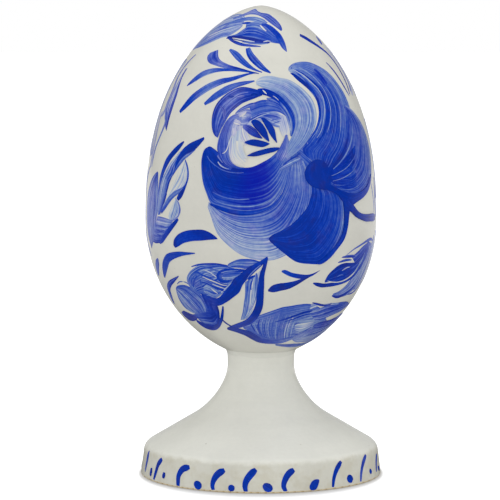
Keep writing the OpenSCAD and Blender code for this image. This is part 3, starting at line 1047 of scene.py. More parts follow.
# five in the heart
def paintLeaflets(petal, touch):
    petal([(-10.7, 128.9), (-8.3, 127.4), (-5.5, 126), (-2.3, 125.2), (0.5, 124.9)],
          [(-10.5, 129.4), (-7.4, 129.8), (-3.5, 128.6), (-1, 126.7), (0.7, 125)], "45 77 88 99",
          cast=[-1, -0.8, -0.3, -0.1])
    petal([(-0.5, 132), (1.1, 130.3), (3.1, 128.1), (5.1, 125.9), (6.8, 124.4), (8, 123.3)],
          [(-0.3, 132.3), (2.6, 131.7), (5.6, 130), (7.2, 128), (7.8, 125.5), (8.2, 123.4)], "9", drag=0.2)
    petal([(-5.9, 130.8), (-4, 128.9), (-1, 126.7), (1.5, 125.1), (3.9, 123.8)],
          [(-5.8, 131.2), (-2.5, 131.4), (0.2, 130.3), (2.6, 127.9), (4.2, 124)], "9", drag=0.2)
    petal([(-9.3, 123.4), (-4.5, 122.4), (0.5, 122), (4.3, 123)],
          [(-9, 123.8), (-4.5, 124.6), (0.5, 124.2), (4.4, 123.2)], "9", drag=0.2)
    petal([(-7.2, 118.9), (-3.5, 118.8), (1.5, 119.5), (7, 120.4), (9.2, 121.4)],
          [(-7, 119.2), (-3, 120.5), (2.5, 121.6), (6, 121.9), (9.3, 121.9)], "9", drag=0.2)


# stem, node and the contour that runs down from it
def paintNode(petal, touch):
    petal([(35.5, 108.8), (40, 107.1), (44.5, 105.6), (50.5, 104.6), (56, 104.5), (61.5, 105.5), (67, 107.2),
           (72.5, 110.5)],
          [(33, 106.8), (39.5, 104.8), (43.5, 102), (49, 100.2), (55, 101.4), (61, 102.8), (67, 105),
           (72.8, 109.8)], "99 99 99 99 89 88 77 67", drag=0.3, cast=[0, 0, -0.2, -0.6])
    petal([(43.5, 103), (44.2, 99.5), (44.2, 94.5), (42.3, 89.8), (38.5, 86.3), (33.5, 83), (28.5, 81)],
          [(50.5, 102), (48.6, 98.5), (47, 93), (45, 89), (41, 85.8), (36, 82.2), (31, 80.2), (28.2, 80.5)],
          "9 9 8 9", drag=0.25)
    touch([(46, 101.8), (50, 99.4), (54.5, 97), (60, 95.6), (66, 95), (72, 94.7), (77.5, 94.4)],
          [4.6, 3, 2.5, 2.4, 2.5, 2.7, 2.8, 2.7, 1.6], "9 9 99 98 88 88", drag=0.4,
          cast=[0, -0.2, -0.5, -0.7])
    petal([(28, 117.3), (24.5, 116), (22, 113.5), (22.1, 110.7), (24.6, 108.4), (28.5, 107.2), (32.5, 106.6)],
          [(29.5, 117.4), (33, 116.5), (35.6, 114.2), (36.6, 111.2), (36.3, 108.8), (35, 107.2),
           (33.2, 106.6)], "9", drag=0.12)


# the seam between the ring and the swirl, the pale line in the right arc, dark spots in the left one
def paintLastMarks(petal, touch):
    touch([(20, 118), (15, 116.6), (11.5, 115.4), (8.5, 114.2)], [0.9, 1.9, 1.9, 0.8], "45 54 56", drag=0.9)
    touch([(20.5, 120), (17, 118.4), (13.5, 117.1), (10, 115.4)], [0.3, 0.7, 0.7, 0.3], "7 8 7", drag=0.5)
    petal([(-13.5, 124.5), (-12.5, 120.8), (-9.5, 117.4)],
          [(-9.5, 124), (-8.6, 120.6), (-6.4, 117.8)], "01 12 21", drag=0.4)
    touch([(13, 135.2), (15, 133.2), (16.4, 131), (16.5, 128.4), (16, 126.4)], [0.2, 0.4, 0.45, 0.4, 0.2],
          "5 3 3 4", drag=0.5)
    touch([(-20.5, 139.2), (-18, 139), (-16, 139.3)], [0.3, 0.9, 0.3], "8 9 8", drag=0.8)
    touch([(-6.5, 139.8), (-4, 140.2), (-2, 139.8)], [0.3, 0.7, 0.3], "9 8", drag=0.8)
    touch([(-24.5, 136), (-21.5, 134.5), (-20.5, 131)], [0.3, 1.2, 0.4], "5 6 5", drag=0.9, cast=-0.9)
    touch([(-15.2, 138.8), (-12.5, 139.3), (-10, 139.5)], [0.4, 1.4, 0.5], "5 5 6", drag=0.9, cast=-0.8)
    for spots, wide in (([(-15.2, 130.6), (-13.2, 130.3), (-11, 129.8)], 2),
                        ([(-15, 128.6), (-14.2, 127.2), (-15, 125.6)], 1.7),
                        ([(-12.6, 132.5), (-10.5, 133.4), (-8.4, 134.4)], 1.5)):
        touch(spots, [0.5 * wide, wide, 0.9 * wide, 0.4 * wide], "232 121 232", drag=0.6, cast=-1)


def paintRose(petal, touch):
    for part in (paintSwirl, paintUpperPetal, paintOuterPetal, paintBowl, paintArcs,
                 paintHeart, paintLeaflets, paintNode, paintLastMarks):
        part(petal, touch)


# the bud at the top
def paintTopBud(petal, touch):
    petal([(-84, 153.8), (-70, 155.2), (-60, 156.4), (-52.5, 157.7), (-44.5, 159), (-36.5, 159.6),
           (-31.5, 160.7), (-27.5, 162), (-25.5, 163.2), (-27, 164)],
          [(-88, 154.6), (-96, 158), (-98, 161.5), (-92, 164.8), (-75, 166.8), (-50, 167.2), (-33, 166.4),
           (-26, 165)], "565 5554 5443 5443 4433 4433", drag=0.8, cast=-0.25)
    touch([(-70, 159), (-52, 161.5), (-38, 162.8), (-30, 163.6)], [0.3, 1.1, 1.1, 0.3], "2 3 3", drag=0.8)
    petal([(-53, 165), (-44, 165.7), (-37.5, 166.4), (-28.5, 167), (-10.5, 167), (2, 166.2), (10.5, 164.7),
           (17.5, 163.2), (22, 162), (24.5, 161.4)],
          [(-58, 165.4), (-51, 166.4), (-44.5, 167.2), (-37.5, 168), (-25, 169), (-9, 168.2), (2.5, 167.7),
           (16.5, 167.4), (24, 166), (27, 164.4), (27.5, 163.2), (26, 161.8)],
          "55 55 554 5555 6666 6665 6666 77", cast=[-0.3, -0.5, -0.6, -0.4])
    touch([(-56.5, 162.2), (-44, 164.7), (-31.5, 165.4), (-15.5, 165.7), (-3, 165.2), (8.5, 164)],
          [0.6, 1.6, 2.2, 2.6, 3, 1.2], "45 55 65 54 65", drag=0.8)
    petal([(-37.5, 159.3), (-24.5, 159.4), (-13.5, 159), (-3, 158.5), (5.5, 158), (12.5, 157.5), (18, 157.2)],
          [(-38, 159.5), (-28.5, 160.4), (-22.5, 162), (-19.5, 163), (-21.5, 164.1), (-16.5, 164.6),
           (-4.5, 164.6), (4, 163.5), (11.5, 161.5), (16, 159.5), (19, 157.5)],
          "87 7665 6665 7665 6646 7766 66 77", drag=0.8, cast=[0, 0.1, 0])
    touch([(-28.5, 164), (-22, 164.3), (-15, 164.5)], [0.6, 1.4, 0.5], "8 9")
    touch([(-38, 159), (-27, 159.3), (-17, 158.9), (-7.5, 158.4), (1, 157.9), (8.5, 157.6)],
          [0.5, 1.9, 2.6, 2.6, 1.9, 0.5], "9 98 98 8", drag=0.5, cast=-0.5)
    touch([(-2, 163.7), (1.5, 162.7), (4, 162), (6.5, 161.4)], [0.2, 0.9, 0.9, 0.3], "0")
    petal([(-1.5, 163.6), (5, 163), (10.5, 161.6), (14, 160), (16, 158.5), (17, 157), (18.8, 155.5),
           (21.5, 154.4)],
          [(-1.5, 164), (5.5, 164.1), (12, 163.6), (18, 162.2), (21.8, 160.4), (23.2, 158), (22.8, 156),
           (21.9, 154.4)], "77 87 8887 7777 66", drag=0.5, cast=[0.2, 0.1, -0.3])
    touch([(-36, 159), (-26.5, 157.9), (-17, 157), (-8, 156.6), (0, 156.3)], [0.3, 1.2, 1.4, 1.1, 0.4],
          "8 88 77 6", cast=-0.3)
    touch([(-32, 159.1), (-21.5, 158.7), (-12, 158.2), (-5, 157.8)], [0.2, 0.7, 0.7, 0.3], "0 1 2")
    touch([(-19, 157.9), (-9.5, 157.5), (0, 157.3), (7, 157.4)], [0.3, 0.8, 0.8, 0.3], "4 5 4")
    touch([(1.5, 157.8), (6, 158.2), (9.5, 158)], [0.2, 0.6, 0.2], "1 2")


# the fan of commas left of the rose
def paintFan(petal, touch):
    petal([(-47, 154), (-47.5, 152.5), (-43, 150.6), (-35.5, 149.6), (-25.5, 148.6), (-16, 148),
           (-7.5, 147.4), (-1, 147)],
          [(-39.5, 155.2), (-36, 153), (-32.5, 151.6), (-25, 150.2), (-16.5, 149.2), (-9, 148.2),
           (-1, 147.2)], "66 8776 6555 5667 9998 999 9", drag=0.5, cast=[-0.4, -0.6, -0.3, 0])
    touch([(-28.5, 155.3), (-21.5, 153.8), (-14.5, 151.5), (-9, 149.7), (-4, 148.4), (1, 147.5)],
          [0.8, 2.1, 2.5, 2.3, 1.7, 1, 0.4], "57 67 77 77", drag=0.6)
    touch([(-12.2, 156), (-9.5, 154), (-6, 152.2), (-2, 150.4), (2, 148.8), (6.8, 147.2)],
          [1.6, 2.3, 2.7, 2.5, 1.8, 0.4], "67 78 77 88", drag=0.6)
    touch([(-55, 142), (-49, 144.8), (-42.5, 146.9), (-35.5, 147.9), (-28.5, 148.2), (-20.5, 148.3),
           (-13, 148), (-6, 147.4)], [0.4, 2.1, 2.6, 2.4, 1.8, 1.3, 1, 0.7, 0.3], "78 77 65 77 67 88",
          drag=0.5)
    touch([(-53.2, 132.9), (-48, 136.6), (-43.6, 139.1), (-38.5, 141.1), (-33.5, 142.7), (-27.5, 144.1),
           (-20.5, 145.1), (-14, 146.2), (-9, 147), (-4, 147.4)],
          [1.3, 2.6, 3.1, 3.1, 2.9, 2.4, 1.8, 1.1, 0.4], "88 88 75 55 78 77 88", drag=0.5)
    touch([(-35.3, 136.2), (-31, 138.1), (-27, 139.9), (-22.5, 141.5), (-18.5, 142.6), (-13.5, 143.6),
           (-8.5, 144.2), (-4, 144.7)], [1.1, 2.3, 2.9, 2.9, 2.4, 1.8, 1.2, 0.4], "77 67 66 77 77", drag=0.6)


# long leaf that goes round the left side
def paintSideLeafLeft(petal, touch):
    # faint far half, then the streaked near half
    petal([(-76, 150), (-80, 145), (-81.5, 139), (-81, 132), (-79.5, 125), (-77, 117)],
          [(-78, 151), (-90, 148), (-97, 140), (-97.5, 132), (-93, 124.5), (-79, 116)],
          "33 2422 3323 2432 3323 55", drag=0.9, cast=-0.5)
    petal([(-65.5, 148.2), (-66.5, 145), (-65, 141.5), (-63.3, 138.5), (-63, 135), (-63, 131.5),
           (-62.5, 128.5), (-62, 126.5)],
          [(-67, 148.2), (-68.5, 145), (-69.5, 142), (-70.5, 138.5), (-71.5, 135), (-70.5, 132), (-66, 128.8),
           (-62.8, 126.4)], "66 5543 5342 54332 64433 6544 66 77", drag=0.8, cast=-0.7)
    touch([(-65.5, 148.4), (-66.5, 145), (-65, 141.8), (-63.2, 138.6), (-62.9, 135), (-62.8, 131.5),
           (-62.3, 128.5), (-61.9, 126)], [0.5, 1.1, 1.3, 1.3, 1.3, 1.3, 1, 0.4], "7 7 7 8", cast=-0.8)
    touch([(-67.5, 146), (-66.8, 142.5), (-66.2, 139), (-66.3, 135)], [0.2, 0.7, 0.8, 0.3], "0 1 0", drag=0.5)
    touch([(-70, 133), (-66.5, 131), (-65.8, 128.5), (-67.3, 125.5), (-70, 122), (-72.3, 119), (-73.3, 116),
           (-74, 112.5)], [0.6, 1.4, 1.4, 1.2, 1.3, 1.3, 1, 0.4], "66 65 54 43", drag=0.7, cast=-0.45)
    touch([(-65, 153), (-70, 150.2), (-73.5, 147), (-73.6, 144), (-71.5, 140.5), (-71.5, 136.5), (-73, 132),
           (-77.5, 131), (-76.5, 126), (-75.5, 121), (-76, 116), (-77, 112)],
          [0.6, 1.2, 1.6, 2, 2.2, 2.2, 2, 1.6, 0.6], "5 4 3 4", drag=0.8, cast=-0.8)
    touch([(-80, 151), (-92, 148.5), (-100, 140.5), (-100.5, 132), (-95.5, 124), (-82, 116)],
          [0.6, 2, 2.6, 2.6, 2.2, 0.8], "6 7 7 6", drag=0.5, cast=-0.3)
    touch([(-87, 143), (-91, 137), (-91, 130)], [0.3, 1, 0.3], "5 4", drag=0.6)


# spray of leaves and buds on the left flank
def paintSprayLeft(petal, touch):
    # leaf against the side
    petal([(-63.6, 111.4), (-63, 108.7), (-62, 105.7), (-61, 102.7), (-61.2, 99.4), (-62.5, 96.4),
           (-64, 93.4), (-65, 90.2), (-70, 85.2)],
          [(-64.4, 111.8), (-70, 109.4), (-75, 106), (-79, 101), (-80, 95), (-78, 88), (-73, 83)],
          "77 6666 55566 65656 56566 65666 66566 67666 77", drag=1, cast=-0.35)
    touch([(-64.5, 111.6), (-66, 109.2), (-69, 106.7), (-71.5, 103.7)], [0.4, 1.3, 1, 0.3], "8 8 7",
          drag=0.5, cast=-0.5)
    touch([(-66.2, 109), (-65.8, 103), (-66.3, 97), (-68, 90.5)], [0.3, 0.8, 0.8, 0.3], "7 7 8", drag=0.6,
          cast=-0.4)
    touch([(-64.2, 107), (-63.4, 101), (-64.4, 95.5)], [0.2, 0.7, 0.7, 0.2], "3 4", drag=0.6)
    touch([(-71.5, 106), (-72.5, 100), (-71.5, 93)], [0.2, 0.9, 0.9, 0.2], "7 7", drag=0.7, cast=-0.5)
    touch([(-77, 113), (-83, 108), (-86.5, 101), (-87, 94), (-84, 87), (-78, 80)],
          [0.6, 2, 2.6, 2.6, 2.2, 0.6], "6 6 6 7", drag=0.6, cast=-0.5)
    petal([(-90, 112), (-89.5, 106), (-91, 99), (-90, 92), (-86, 86)],
          [(-91, 112), (-98, 106), (-101, 98), (-98, 91), (-88, 85.5)], "54 433 533 643 66", drag=0.8)
    # foot of the bud
    petal([(-62.5, 95.8), (-59, 95.9), (-55, 95.7), (-51.5, 95.3), (-48, 95)],
          [(-69.5, 86), (-66, 85.8), (-62.5, 86), (-59.5, 86.4), (-57, 88.4)],
          "556677 545768 445678 44578 5689", cast=[-0.5, -0.4, -0.3])
    for spots in ([(-62.5, 92.4), (-58.5, 92.4), (-53, 92.2)],
                  [(-64, 91), (-58.5, 90.7), (-55, 91.2)],
                  [(-63, 89.2), (-57.5, 89), (-56, 89.7)]):
        touch(spots, [0.3, 0.9, 0.4], "8 7", drag=0.6, cast=-0.4)
    # inner pale petals, only outlined
    petal([(-46.8, 103), (-48.5, 101.5), (-51.5, 99), (-53, 96.5), (-51.5, 95)],
          [(-46, 103), (-44.2, 101), (-43.3, 98.8), (-44.6, 96.6), (-47.5, 95.2)], "12 131 2132 131 23",
          drag=1)
    touch([(-47.2, 103.2), (-44.8, 101.6), (-43.7, 99.2), (-44.7, 96.9), (-47.6, 95.4), (-51, 95)],
          [0.3, 0.7, 0.9, 0.8, 0.6, 0.3], "4 5 5 4", drag=0.6, cast=-0.5)
    touch([(-45, 102.2), (-44, 100.6), (-43.5, 99), (-43.5, 97.8)], [0.3, 0.7, 0.8, 0.3], "5 6", cast=-0.5)
    petal([(-42.3, 116.8), (-45, 114.5), (-48.3, 111.8), (-51.5, 108.3), (-54, 104)],
          [(-41, 116), (-39.6, 112.8), (-39.9, 109.8), (-42.8, 106), (-50, 103)], "1 1021 1021 021", drag=0.9)
    for spots in ([(-43, 114.5), (-44, 110.5), (-47, 106.8)],
                  [(-45.3, 113), (-47, 109.5), (-50, 105.5)],
                  [(-41.4, 113), (-42, 110), (-44, 107.5)]):
        touch(spots, [0.2, 0.5, 0.5, 0.2], "2 3 2", drag=0.7)
    touch([(-42, 117), (-40.2, 114.7), (-39.2, 112.6), (-39.2, 110.2), (-40.2, 107.7)],
          [0.3, 0.8, 0.9, 0.8, 0.6], "7 6 7", drag=0.6)
    petal([(-40, 108.4), (-43, 107.2), (-47.5, 106), (-51, 104.4), (-53.5, 102.7), (-56, 100.4), (-59, 97.7)],
          [(-41, 107.2), (-43.5, 105.4), (-47, 103.7), (-50, 102), (-52.5, 100.2), (-55, 98.4), (-58, 96.7)],
          "45 346 346 347 357 468 78", drag=0.8)
    touch([(-39.3, 110), (-40.2, 108), (-41.5, 106.2), (-43.4, 104.4), (-45.6, 102.6)],
          [0.5, 0.9, 1.5, 2.1, 1.5], "7 8 9 9", drag=0.3, cast=-0.2)
    # broad mid-blue leaf between two dark ones
    petal([(-44, 119), (-47, 116.4), (-49, 113.4), (-49.4, 111.4), (-52.5, 108.7), (-53.5, 106), (-55, 102.7),
           (-57.5, 99.2), (-59.5, 96.5)],
          [(-46, 119.7), (-49.5, 117.2), (-53.5, 114.7), (-56.5, 111.7), (-58.6, 109), (-60, 106), (-61, 103),
           (-61.4, 99.7), (-62, 96)], "444 4444 5544 6654 6544 6544 7544 7654 765", drag=0.9, cast=-0.1)
    touch([(-50, 111), (-52.5, 108.3), (-53.7, 105.4), (-55.2, 102.7), (-57, 100), (-59, 97.5)],
          [0.3, 0.7, 0.9, 1, 0.9, 0.3], "8 9 9", drag=0.3)
    petal([(-35.5, 120.7), (-39, 118.4), (-42.5, 116.7), (-45.5, 114.4), (-48, 112.4), (-50, 110.7)],
          [(-37.5, 120.7), (-42, 118.8), (-45, 117), (-47.5, 114.8), (-49, 112.8), (-50.4, 111)],
          "66 55 56 66 77", drag=0.7)
    petal([(-31, 124.4), (-34, 122), (-37.5, 119.8), (-42, 118.1), (-45, 116.4), (-47.5, 114.2), (-49, 112)],
          [(-31.4, 125.1), (-35.5, 123.9), (-40.5, 122.5), (-44.8, 120.2), (-47.4, 117.7), (-48.4, 115.4),
           (-49.1, 112.2)], "99 99 99 98 98 88", drag=0.3)
    petal([(-44, 123), (-46.2, 120.8), (-50, 118.2), (-53.6, 115.4), (-56.4, 112.4), (-58.4, 109.4),
           (-59.8, 106.2), (-60.6, 103)],
          [(-44.5, 123.3), (-47.5, 122.2), (-52.5, 119.7), (-57, 116.4), (-59.5, 112.9), (-61, 109.6),
           (-61.5, 106.2), (-61, 102.6)], "99 998 998 988 887 877 77 66", drag=0.4, cast=[0, -0.1, -0.3])
    touch([(-44.6, 95.8), (-48, 93.6), (-51.2, 91.6), (-54.6, 89.4), (-57.8, 87.5), (-61, 86)],
          [0.9, 1.7, 1.8, 1.8, 1.7, 0.6], "99 98 88 87", drag=0.3, cast=[0, -0.1, -0.4])
    # loose commas under it
    petal([(-21.3, 89.6), (-26, 89.2), (-31, 88.8), (-36, 88.3), (-41, 87.4), (-45, 85.9), (-47.6, 85.3)],
          [(-22.2, 90.3), (-25.5, 91.8), (-29, 92.6), (-34.5, 92.4), (-40, 91.8), (-44.8, 90.3), (-48, 88.2),
           (-48.8, 86)], "99 99 8899 8888 8889 99", drag=0.25, cast=[0.2, 0.1, 0])
    touch([(-34.5, 84.1), (-40, 83.7), (-45, 83.2), (-50.5, 82.3), (-55.5, 80.8), (-59, 78.6), (-62.2, 75.8),
           (-64.8, 73.2)], [0.3, 1.2, 1.9, 2.5, 3, 3.3, 2.6, 0.4], "8 88 88 77 67", drag=0.4,
          cast=[0, -0.1, -0.4])
    touch([(-66, 80.2), (-69.5, 78), (-73, 75.4), (-75, 73.2)], [0.8, 2.8, 2.6, 0.5], "6 5", cast=-0.5,
          drag=0.6)
    touch([(-49, 75), (-55.3, 73), (-61, 71.4), (-65, 69.5), (-67.4, 67), (-69.4, 65), (-71.5, 63)],
          [0.3, 1.2, 1.9, 2.1, 1.9, 1.6, 0.4], "77 76 66", drag=0.5, cast=-0.5)


# bud at the lower left, its leaves and the thick stem up to the rose
def paintLowerBud(petal, touch):
    # leaf above the stem
    petal([(-17, 79.8), (-14, 79.5), (-10, 79.3), (-6, 79), (0, 80.5)],
          [(-17.3, 80.6), (-14.5, 81.7), (-11, 82.7), (-7.3, 82.9), (-4, 82.7), (-0.5, 82)],
          "66 6655 6666 6656 77", drag=0.8)
    # big folded petal, light inside
    petal([(-38.5, 69.6), (-35, 68.6), (-31, 67.8), (-27, 67.8), (-21, 70.2), (-16.5, 73.2), (-12, 76.3)],
          [(-40.5, 70.2), (-43.2, 72), (-43.3, 74.4), (-41, 76.6), (-38, 78.2), (-33, 79.8), (-28, 80.3),
           (-23, 80.7), (-18, 80.4), (-12.5, 79.2)], "65 6655 6665 4655 4555 5555 66", drag=1)
    petal([(-40, 70.8), (-38.6, 72), (-36.6, 74), (-34.6, 76)],
          [(-41.4, 72), (-41.8, 74.4), (-39.6, 76), (-35.8, 77)], "56 466 556 66", drag=0.9)
    touch([(-38.5, 79), (-33, 80), (-28, 80.4), (-22.5, 80.6), (-16, 80.1)], [0.3, 0.8, 0.9, 0.9, 0.4],
          "7 8 8", cast=-0.2)
    touch([(-30, 79.2), (-26, 78.8), (-22, 78), (-18, 77.8)], [0.3, 0.9, 1, 0.4], "66 66 65", drag=0.9)
    touch([(-31.5, 78.4), (-27.5, 77.6), (-25, 76.4), (-22.5, 75.2)], [0.2, 0.6, 0.6, 0.3], "1 2 1")
    # the shade and the light inside the fold
    petal([(-34, 73), (-31, 72.8), (-28, 71.8), (-24.5, 71.2), (-21, 70.6)],
          [(-34, 75.6), (-30, 74.9), (-26.5, 73.9), (-22, 73), (-17.5, 73)], "66 6776 7877 788 88", drag=0.9,
          cast=0.1)
    petal([(-34, 70.2), (-31, 69.2), (-29, 68.4), (-26.5, 68.3), (-22, 70)],
          [(-33.5, 71.6), (-30.5, 73), (-27.5, 72.4), (-24.8, 71.3), (-22, 70.3)], "45 444 555 555 56",
          drag=0.9)
    touch([(-28.5, 71.6), (-26.5, 70.6), (-24.5, 69.6)], [0.2, 0.7, 0.3], "0 1", drag=0.9)
    touch([(-40, 75.2), (-38, 76.4), (-35, 77.1), (-32.5, 76.3), (-28.5, 75.5), (-25, 74.4), (-21, 73.4),
           (-17, 73.1)], [0.3, 0.8, 1.1, 0.9, 0.7, 0.6, 0.6, 0.3], "7 8 8 9", drag=0.6)
    touch([(-32.5, 75.9), (-29, 74.9), (-24.5, 73.9), (-20.5, 73), (-17.5, 73.1)], [0.2, 0.5, 0.5, 0.5, 0.2],
          "2 1 1")
    touch([(-27.5, 73.3), (-24, 72.5), (-21.5, 72), (-19, 71.6)], [0.2, 0.5, 0.5, 0.2], "2 1 2")
    touch([(-28.5, 72.8), (-25, 71.9), (-22, 71), (-20, 70.6)], [0.2, 0.7, 0.7, 0.3], "8 9")
    for spots in ([(-37.5, 75.8), (-38.5, 73.7), (-38.3, 71.6)], [(-33.5, 74.6), (-34.2, 73), (-34, 71)]):
        touch(spots, [0.3, 0.6, 0.3], "7 6")
    petal([(-8, 78.2), (-13.5, 77.7), (-18, 77.5), (-20.5, 76.6), (-21, 75.5), (-18.5, 75), (-14.5, 75.4)],
          [(-8, 79), (-13.5, 79.4), (-18.5, 79.2), (-22.4, 78), (-24, 75.9), (-22, 73.9), (-17.5, 73.9)],
          "88 88 78 78 88", drag=0.5)
    petal([(-21.4, 75.4), (-17.4, 75.2), (-13.5, 76), (-10, 77.4)],
          [(-20.6, 77.1), (-17, 77.8), (-13, 78), (-9.5, 77.9)], "55 45 56", drag=0.9)
    touch([(-21.5, 77.4), (-18, 78.1), (-14.5, 78.4), (-11, 78.7)], [0.2, 0.6, 0.6, 0.3], "5 5 6", drag=0.7)
    # round outer petal, brushed along its length
    petal([(-56, 69.6), (-57.2, 67.6), (-57.2, 65.4), (-56.6, 63.7), (-55, 62.2), (-51, 61.2), (-47, 61)],
          [(-54.5, 70.4), (-50, 71.4), (-44.5, 71.6), (-41.5, 70.9), (-38.5, 69.8), (-35.5, 68.2),
           (-34.3, 66.2), (-34.6, 63.8), (-36.5, 61.6)], "666 55566 545566 555566 555656 55656 667", drag=0.9,
          cast=-0.15)
    touch([(-55, 69), (-54.2, 66.5), (-52.5, 64), (-49.5, 62)], [0.2, 0.6, 0.7, 0.3], "3 4 3", drag=0.8)
    touch([(-50.5, 70.4), (-48.4, 67.6), (-46, 64.8), (-43, 62.6)], [0.2, 0.6, 0.6, 0.2], "4 4 3", drag=0.8)
    touch([(-44, 70.6), (-40.8, 68.4), (-38.8, 65.8), (-38, 63.2)], [0.2, 0.6, 0.7, 0.2], "5 3 4", drag=0.8)
    touch([(-56.4, 69.4), (-54, 70.6), (-49.5, 71.4), (-45, 71.5), (-41.5, 70.8)], [0.3, 0.6, 0.7, 0.6, 0.3],
          "7 6 6", drag=0.5)
    touch([(-56.8, 68), (-57.4, 65.6), (-56.8, 63.6), (-54.6, 62)], [0.2, 0.6, 0.6, 0.3], "6 7 6", drag=0.5)
    touch([(-53, 71.7), (-50, 72.8), (-47, 73.1)], [0.2, 0.5, 0.3], "5 6 5", drag=0.5)
    touch([(-46.5, 73.1), (-44.5, 72.9), (-42.8, 72.3)], [0.2, 0.5, 0.2], "4 5", drag=0.5)
    # dark heart of the bud and its base
    petal([(-36, 69.8), (-35.4, 66), (-35.6, 62.5), (-37.4, 59.8), (-41, 58)],
          [(-29, 67.6), (-27, 64.8), (-27.6, 61.5), (-29.5, 58.8), (-33, 57)], "88 88 7889 889 888", drag=0.5,
          cast=-0.25)
    petal([(-50.5, 60.6), (-45.5, 61.4), (-40.5, 62), (-35.5, 62.6), (-29, 63.4)],
          [(-49, 58.6), (-45, 57.4), (-40, 57.1), (-35, 57), (-29.5, 59.8)], "67 6656 7767 887 99", drag=0.8,
          cast=-0.3)
    petal([(-53, 58.8), (-47, 57.6), (-41, 57.4), (-35.5, 57.5), (-31, 58.6), (-28, 60.4), (-25.4, 62),
           (-23.6, 64.8)],
          [(-53.8, 57.6), (-50.5, 55.7), (-45.5, 54.9), (-39, 54.9), (-33, 56.2), (-28.8, 58.2), (-26, 60.4),
           (-23.2, 64.9)], "88 88 98 99 99", drag=0.3, cast=[-0.6, -0.5, -0.2])
    petal([(-68.5, 60.2), (-62, 61.3), (-57.5, 61), (-53, 60.5), (-48, 60.6)],
          [(-69, 59.6), (-66, 57.9), (-60, 57.4), (-54, 57.9), (-48, 59.6)], "67 88 88 67", drag=0.4,
          cast=-0.8)
    touch([(-23.4, 65), (-25.5, 61.8), (-28.5, 59), (-32, 57.2)], [0.5, 1.1, 1.2, 0.5], "9", drag=0.3)
    touch([(-27.5, 60), (-25.8, 58.6), (-23.5, 57.6), (-21.5, 57)], [0.3, 0.6, 0.6, 0.4], "9", cast=-0.3)
    # stem
    petal([(3.2, 83.9), (0, 82.3), (-3.5, 81), (-6.8, 79.6), (-10.5, 77.6), (-14, 75.7), (-17, 73),
           (-21, 70.2), (-25.5, 68), (-31, 68.5), (-34, 69.5)],
          [(3.5, 83.1), (0, 80.3), (-3.5, 77.9), (-7, 75.4), (-9.8, 73.2), (-12.3, 70.3), (-16.5, 68.3),
           (-21, 66.4), (-25, 65.2), (-30, 65), (-34, 67)], "89 89 999 999 999 899 888 78", drag=0.3,
          cast=[0, 0, 0, -0.3])
    touch([(0.5, 81.2), (-2.5, 79.4), (-5.5, 77.2), (-8, 75)], [0.2, 0.6, 0.6, 0.2], "5 4 6", drag=0.7)


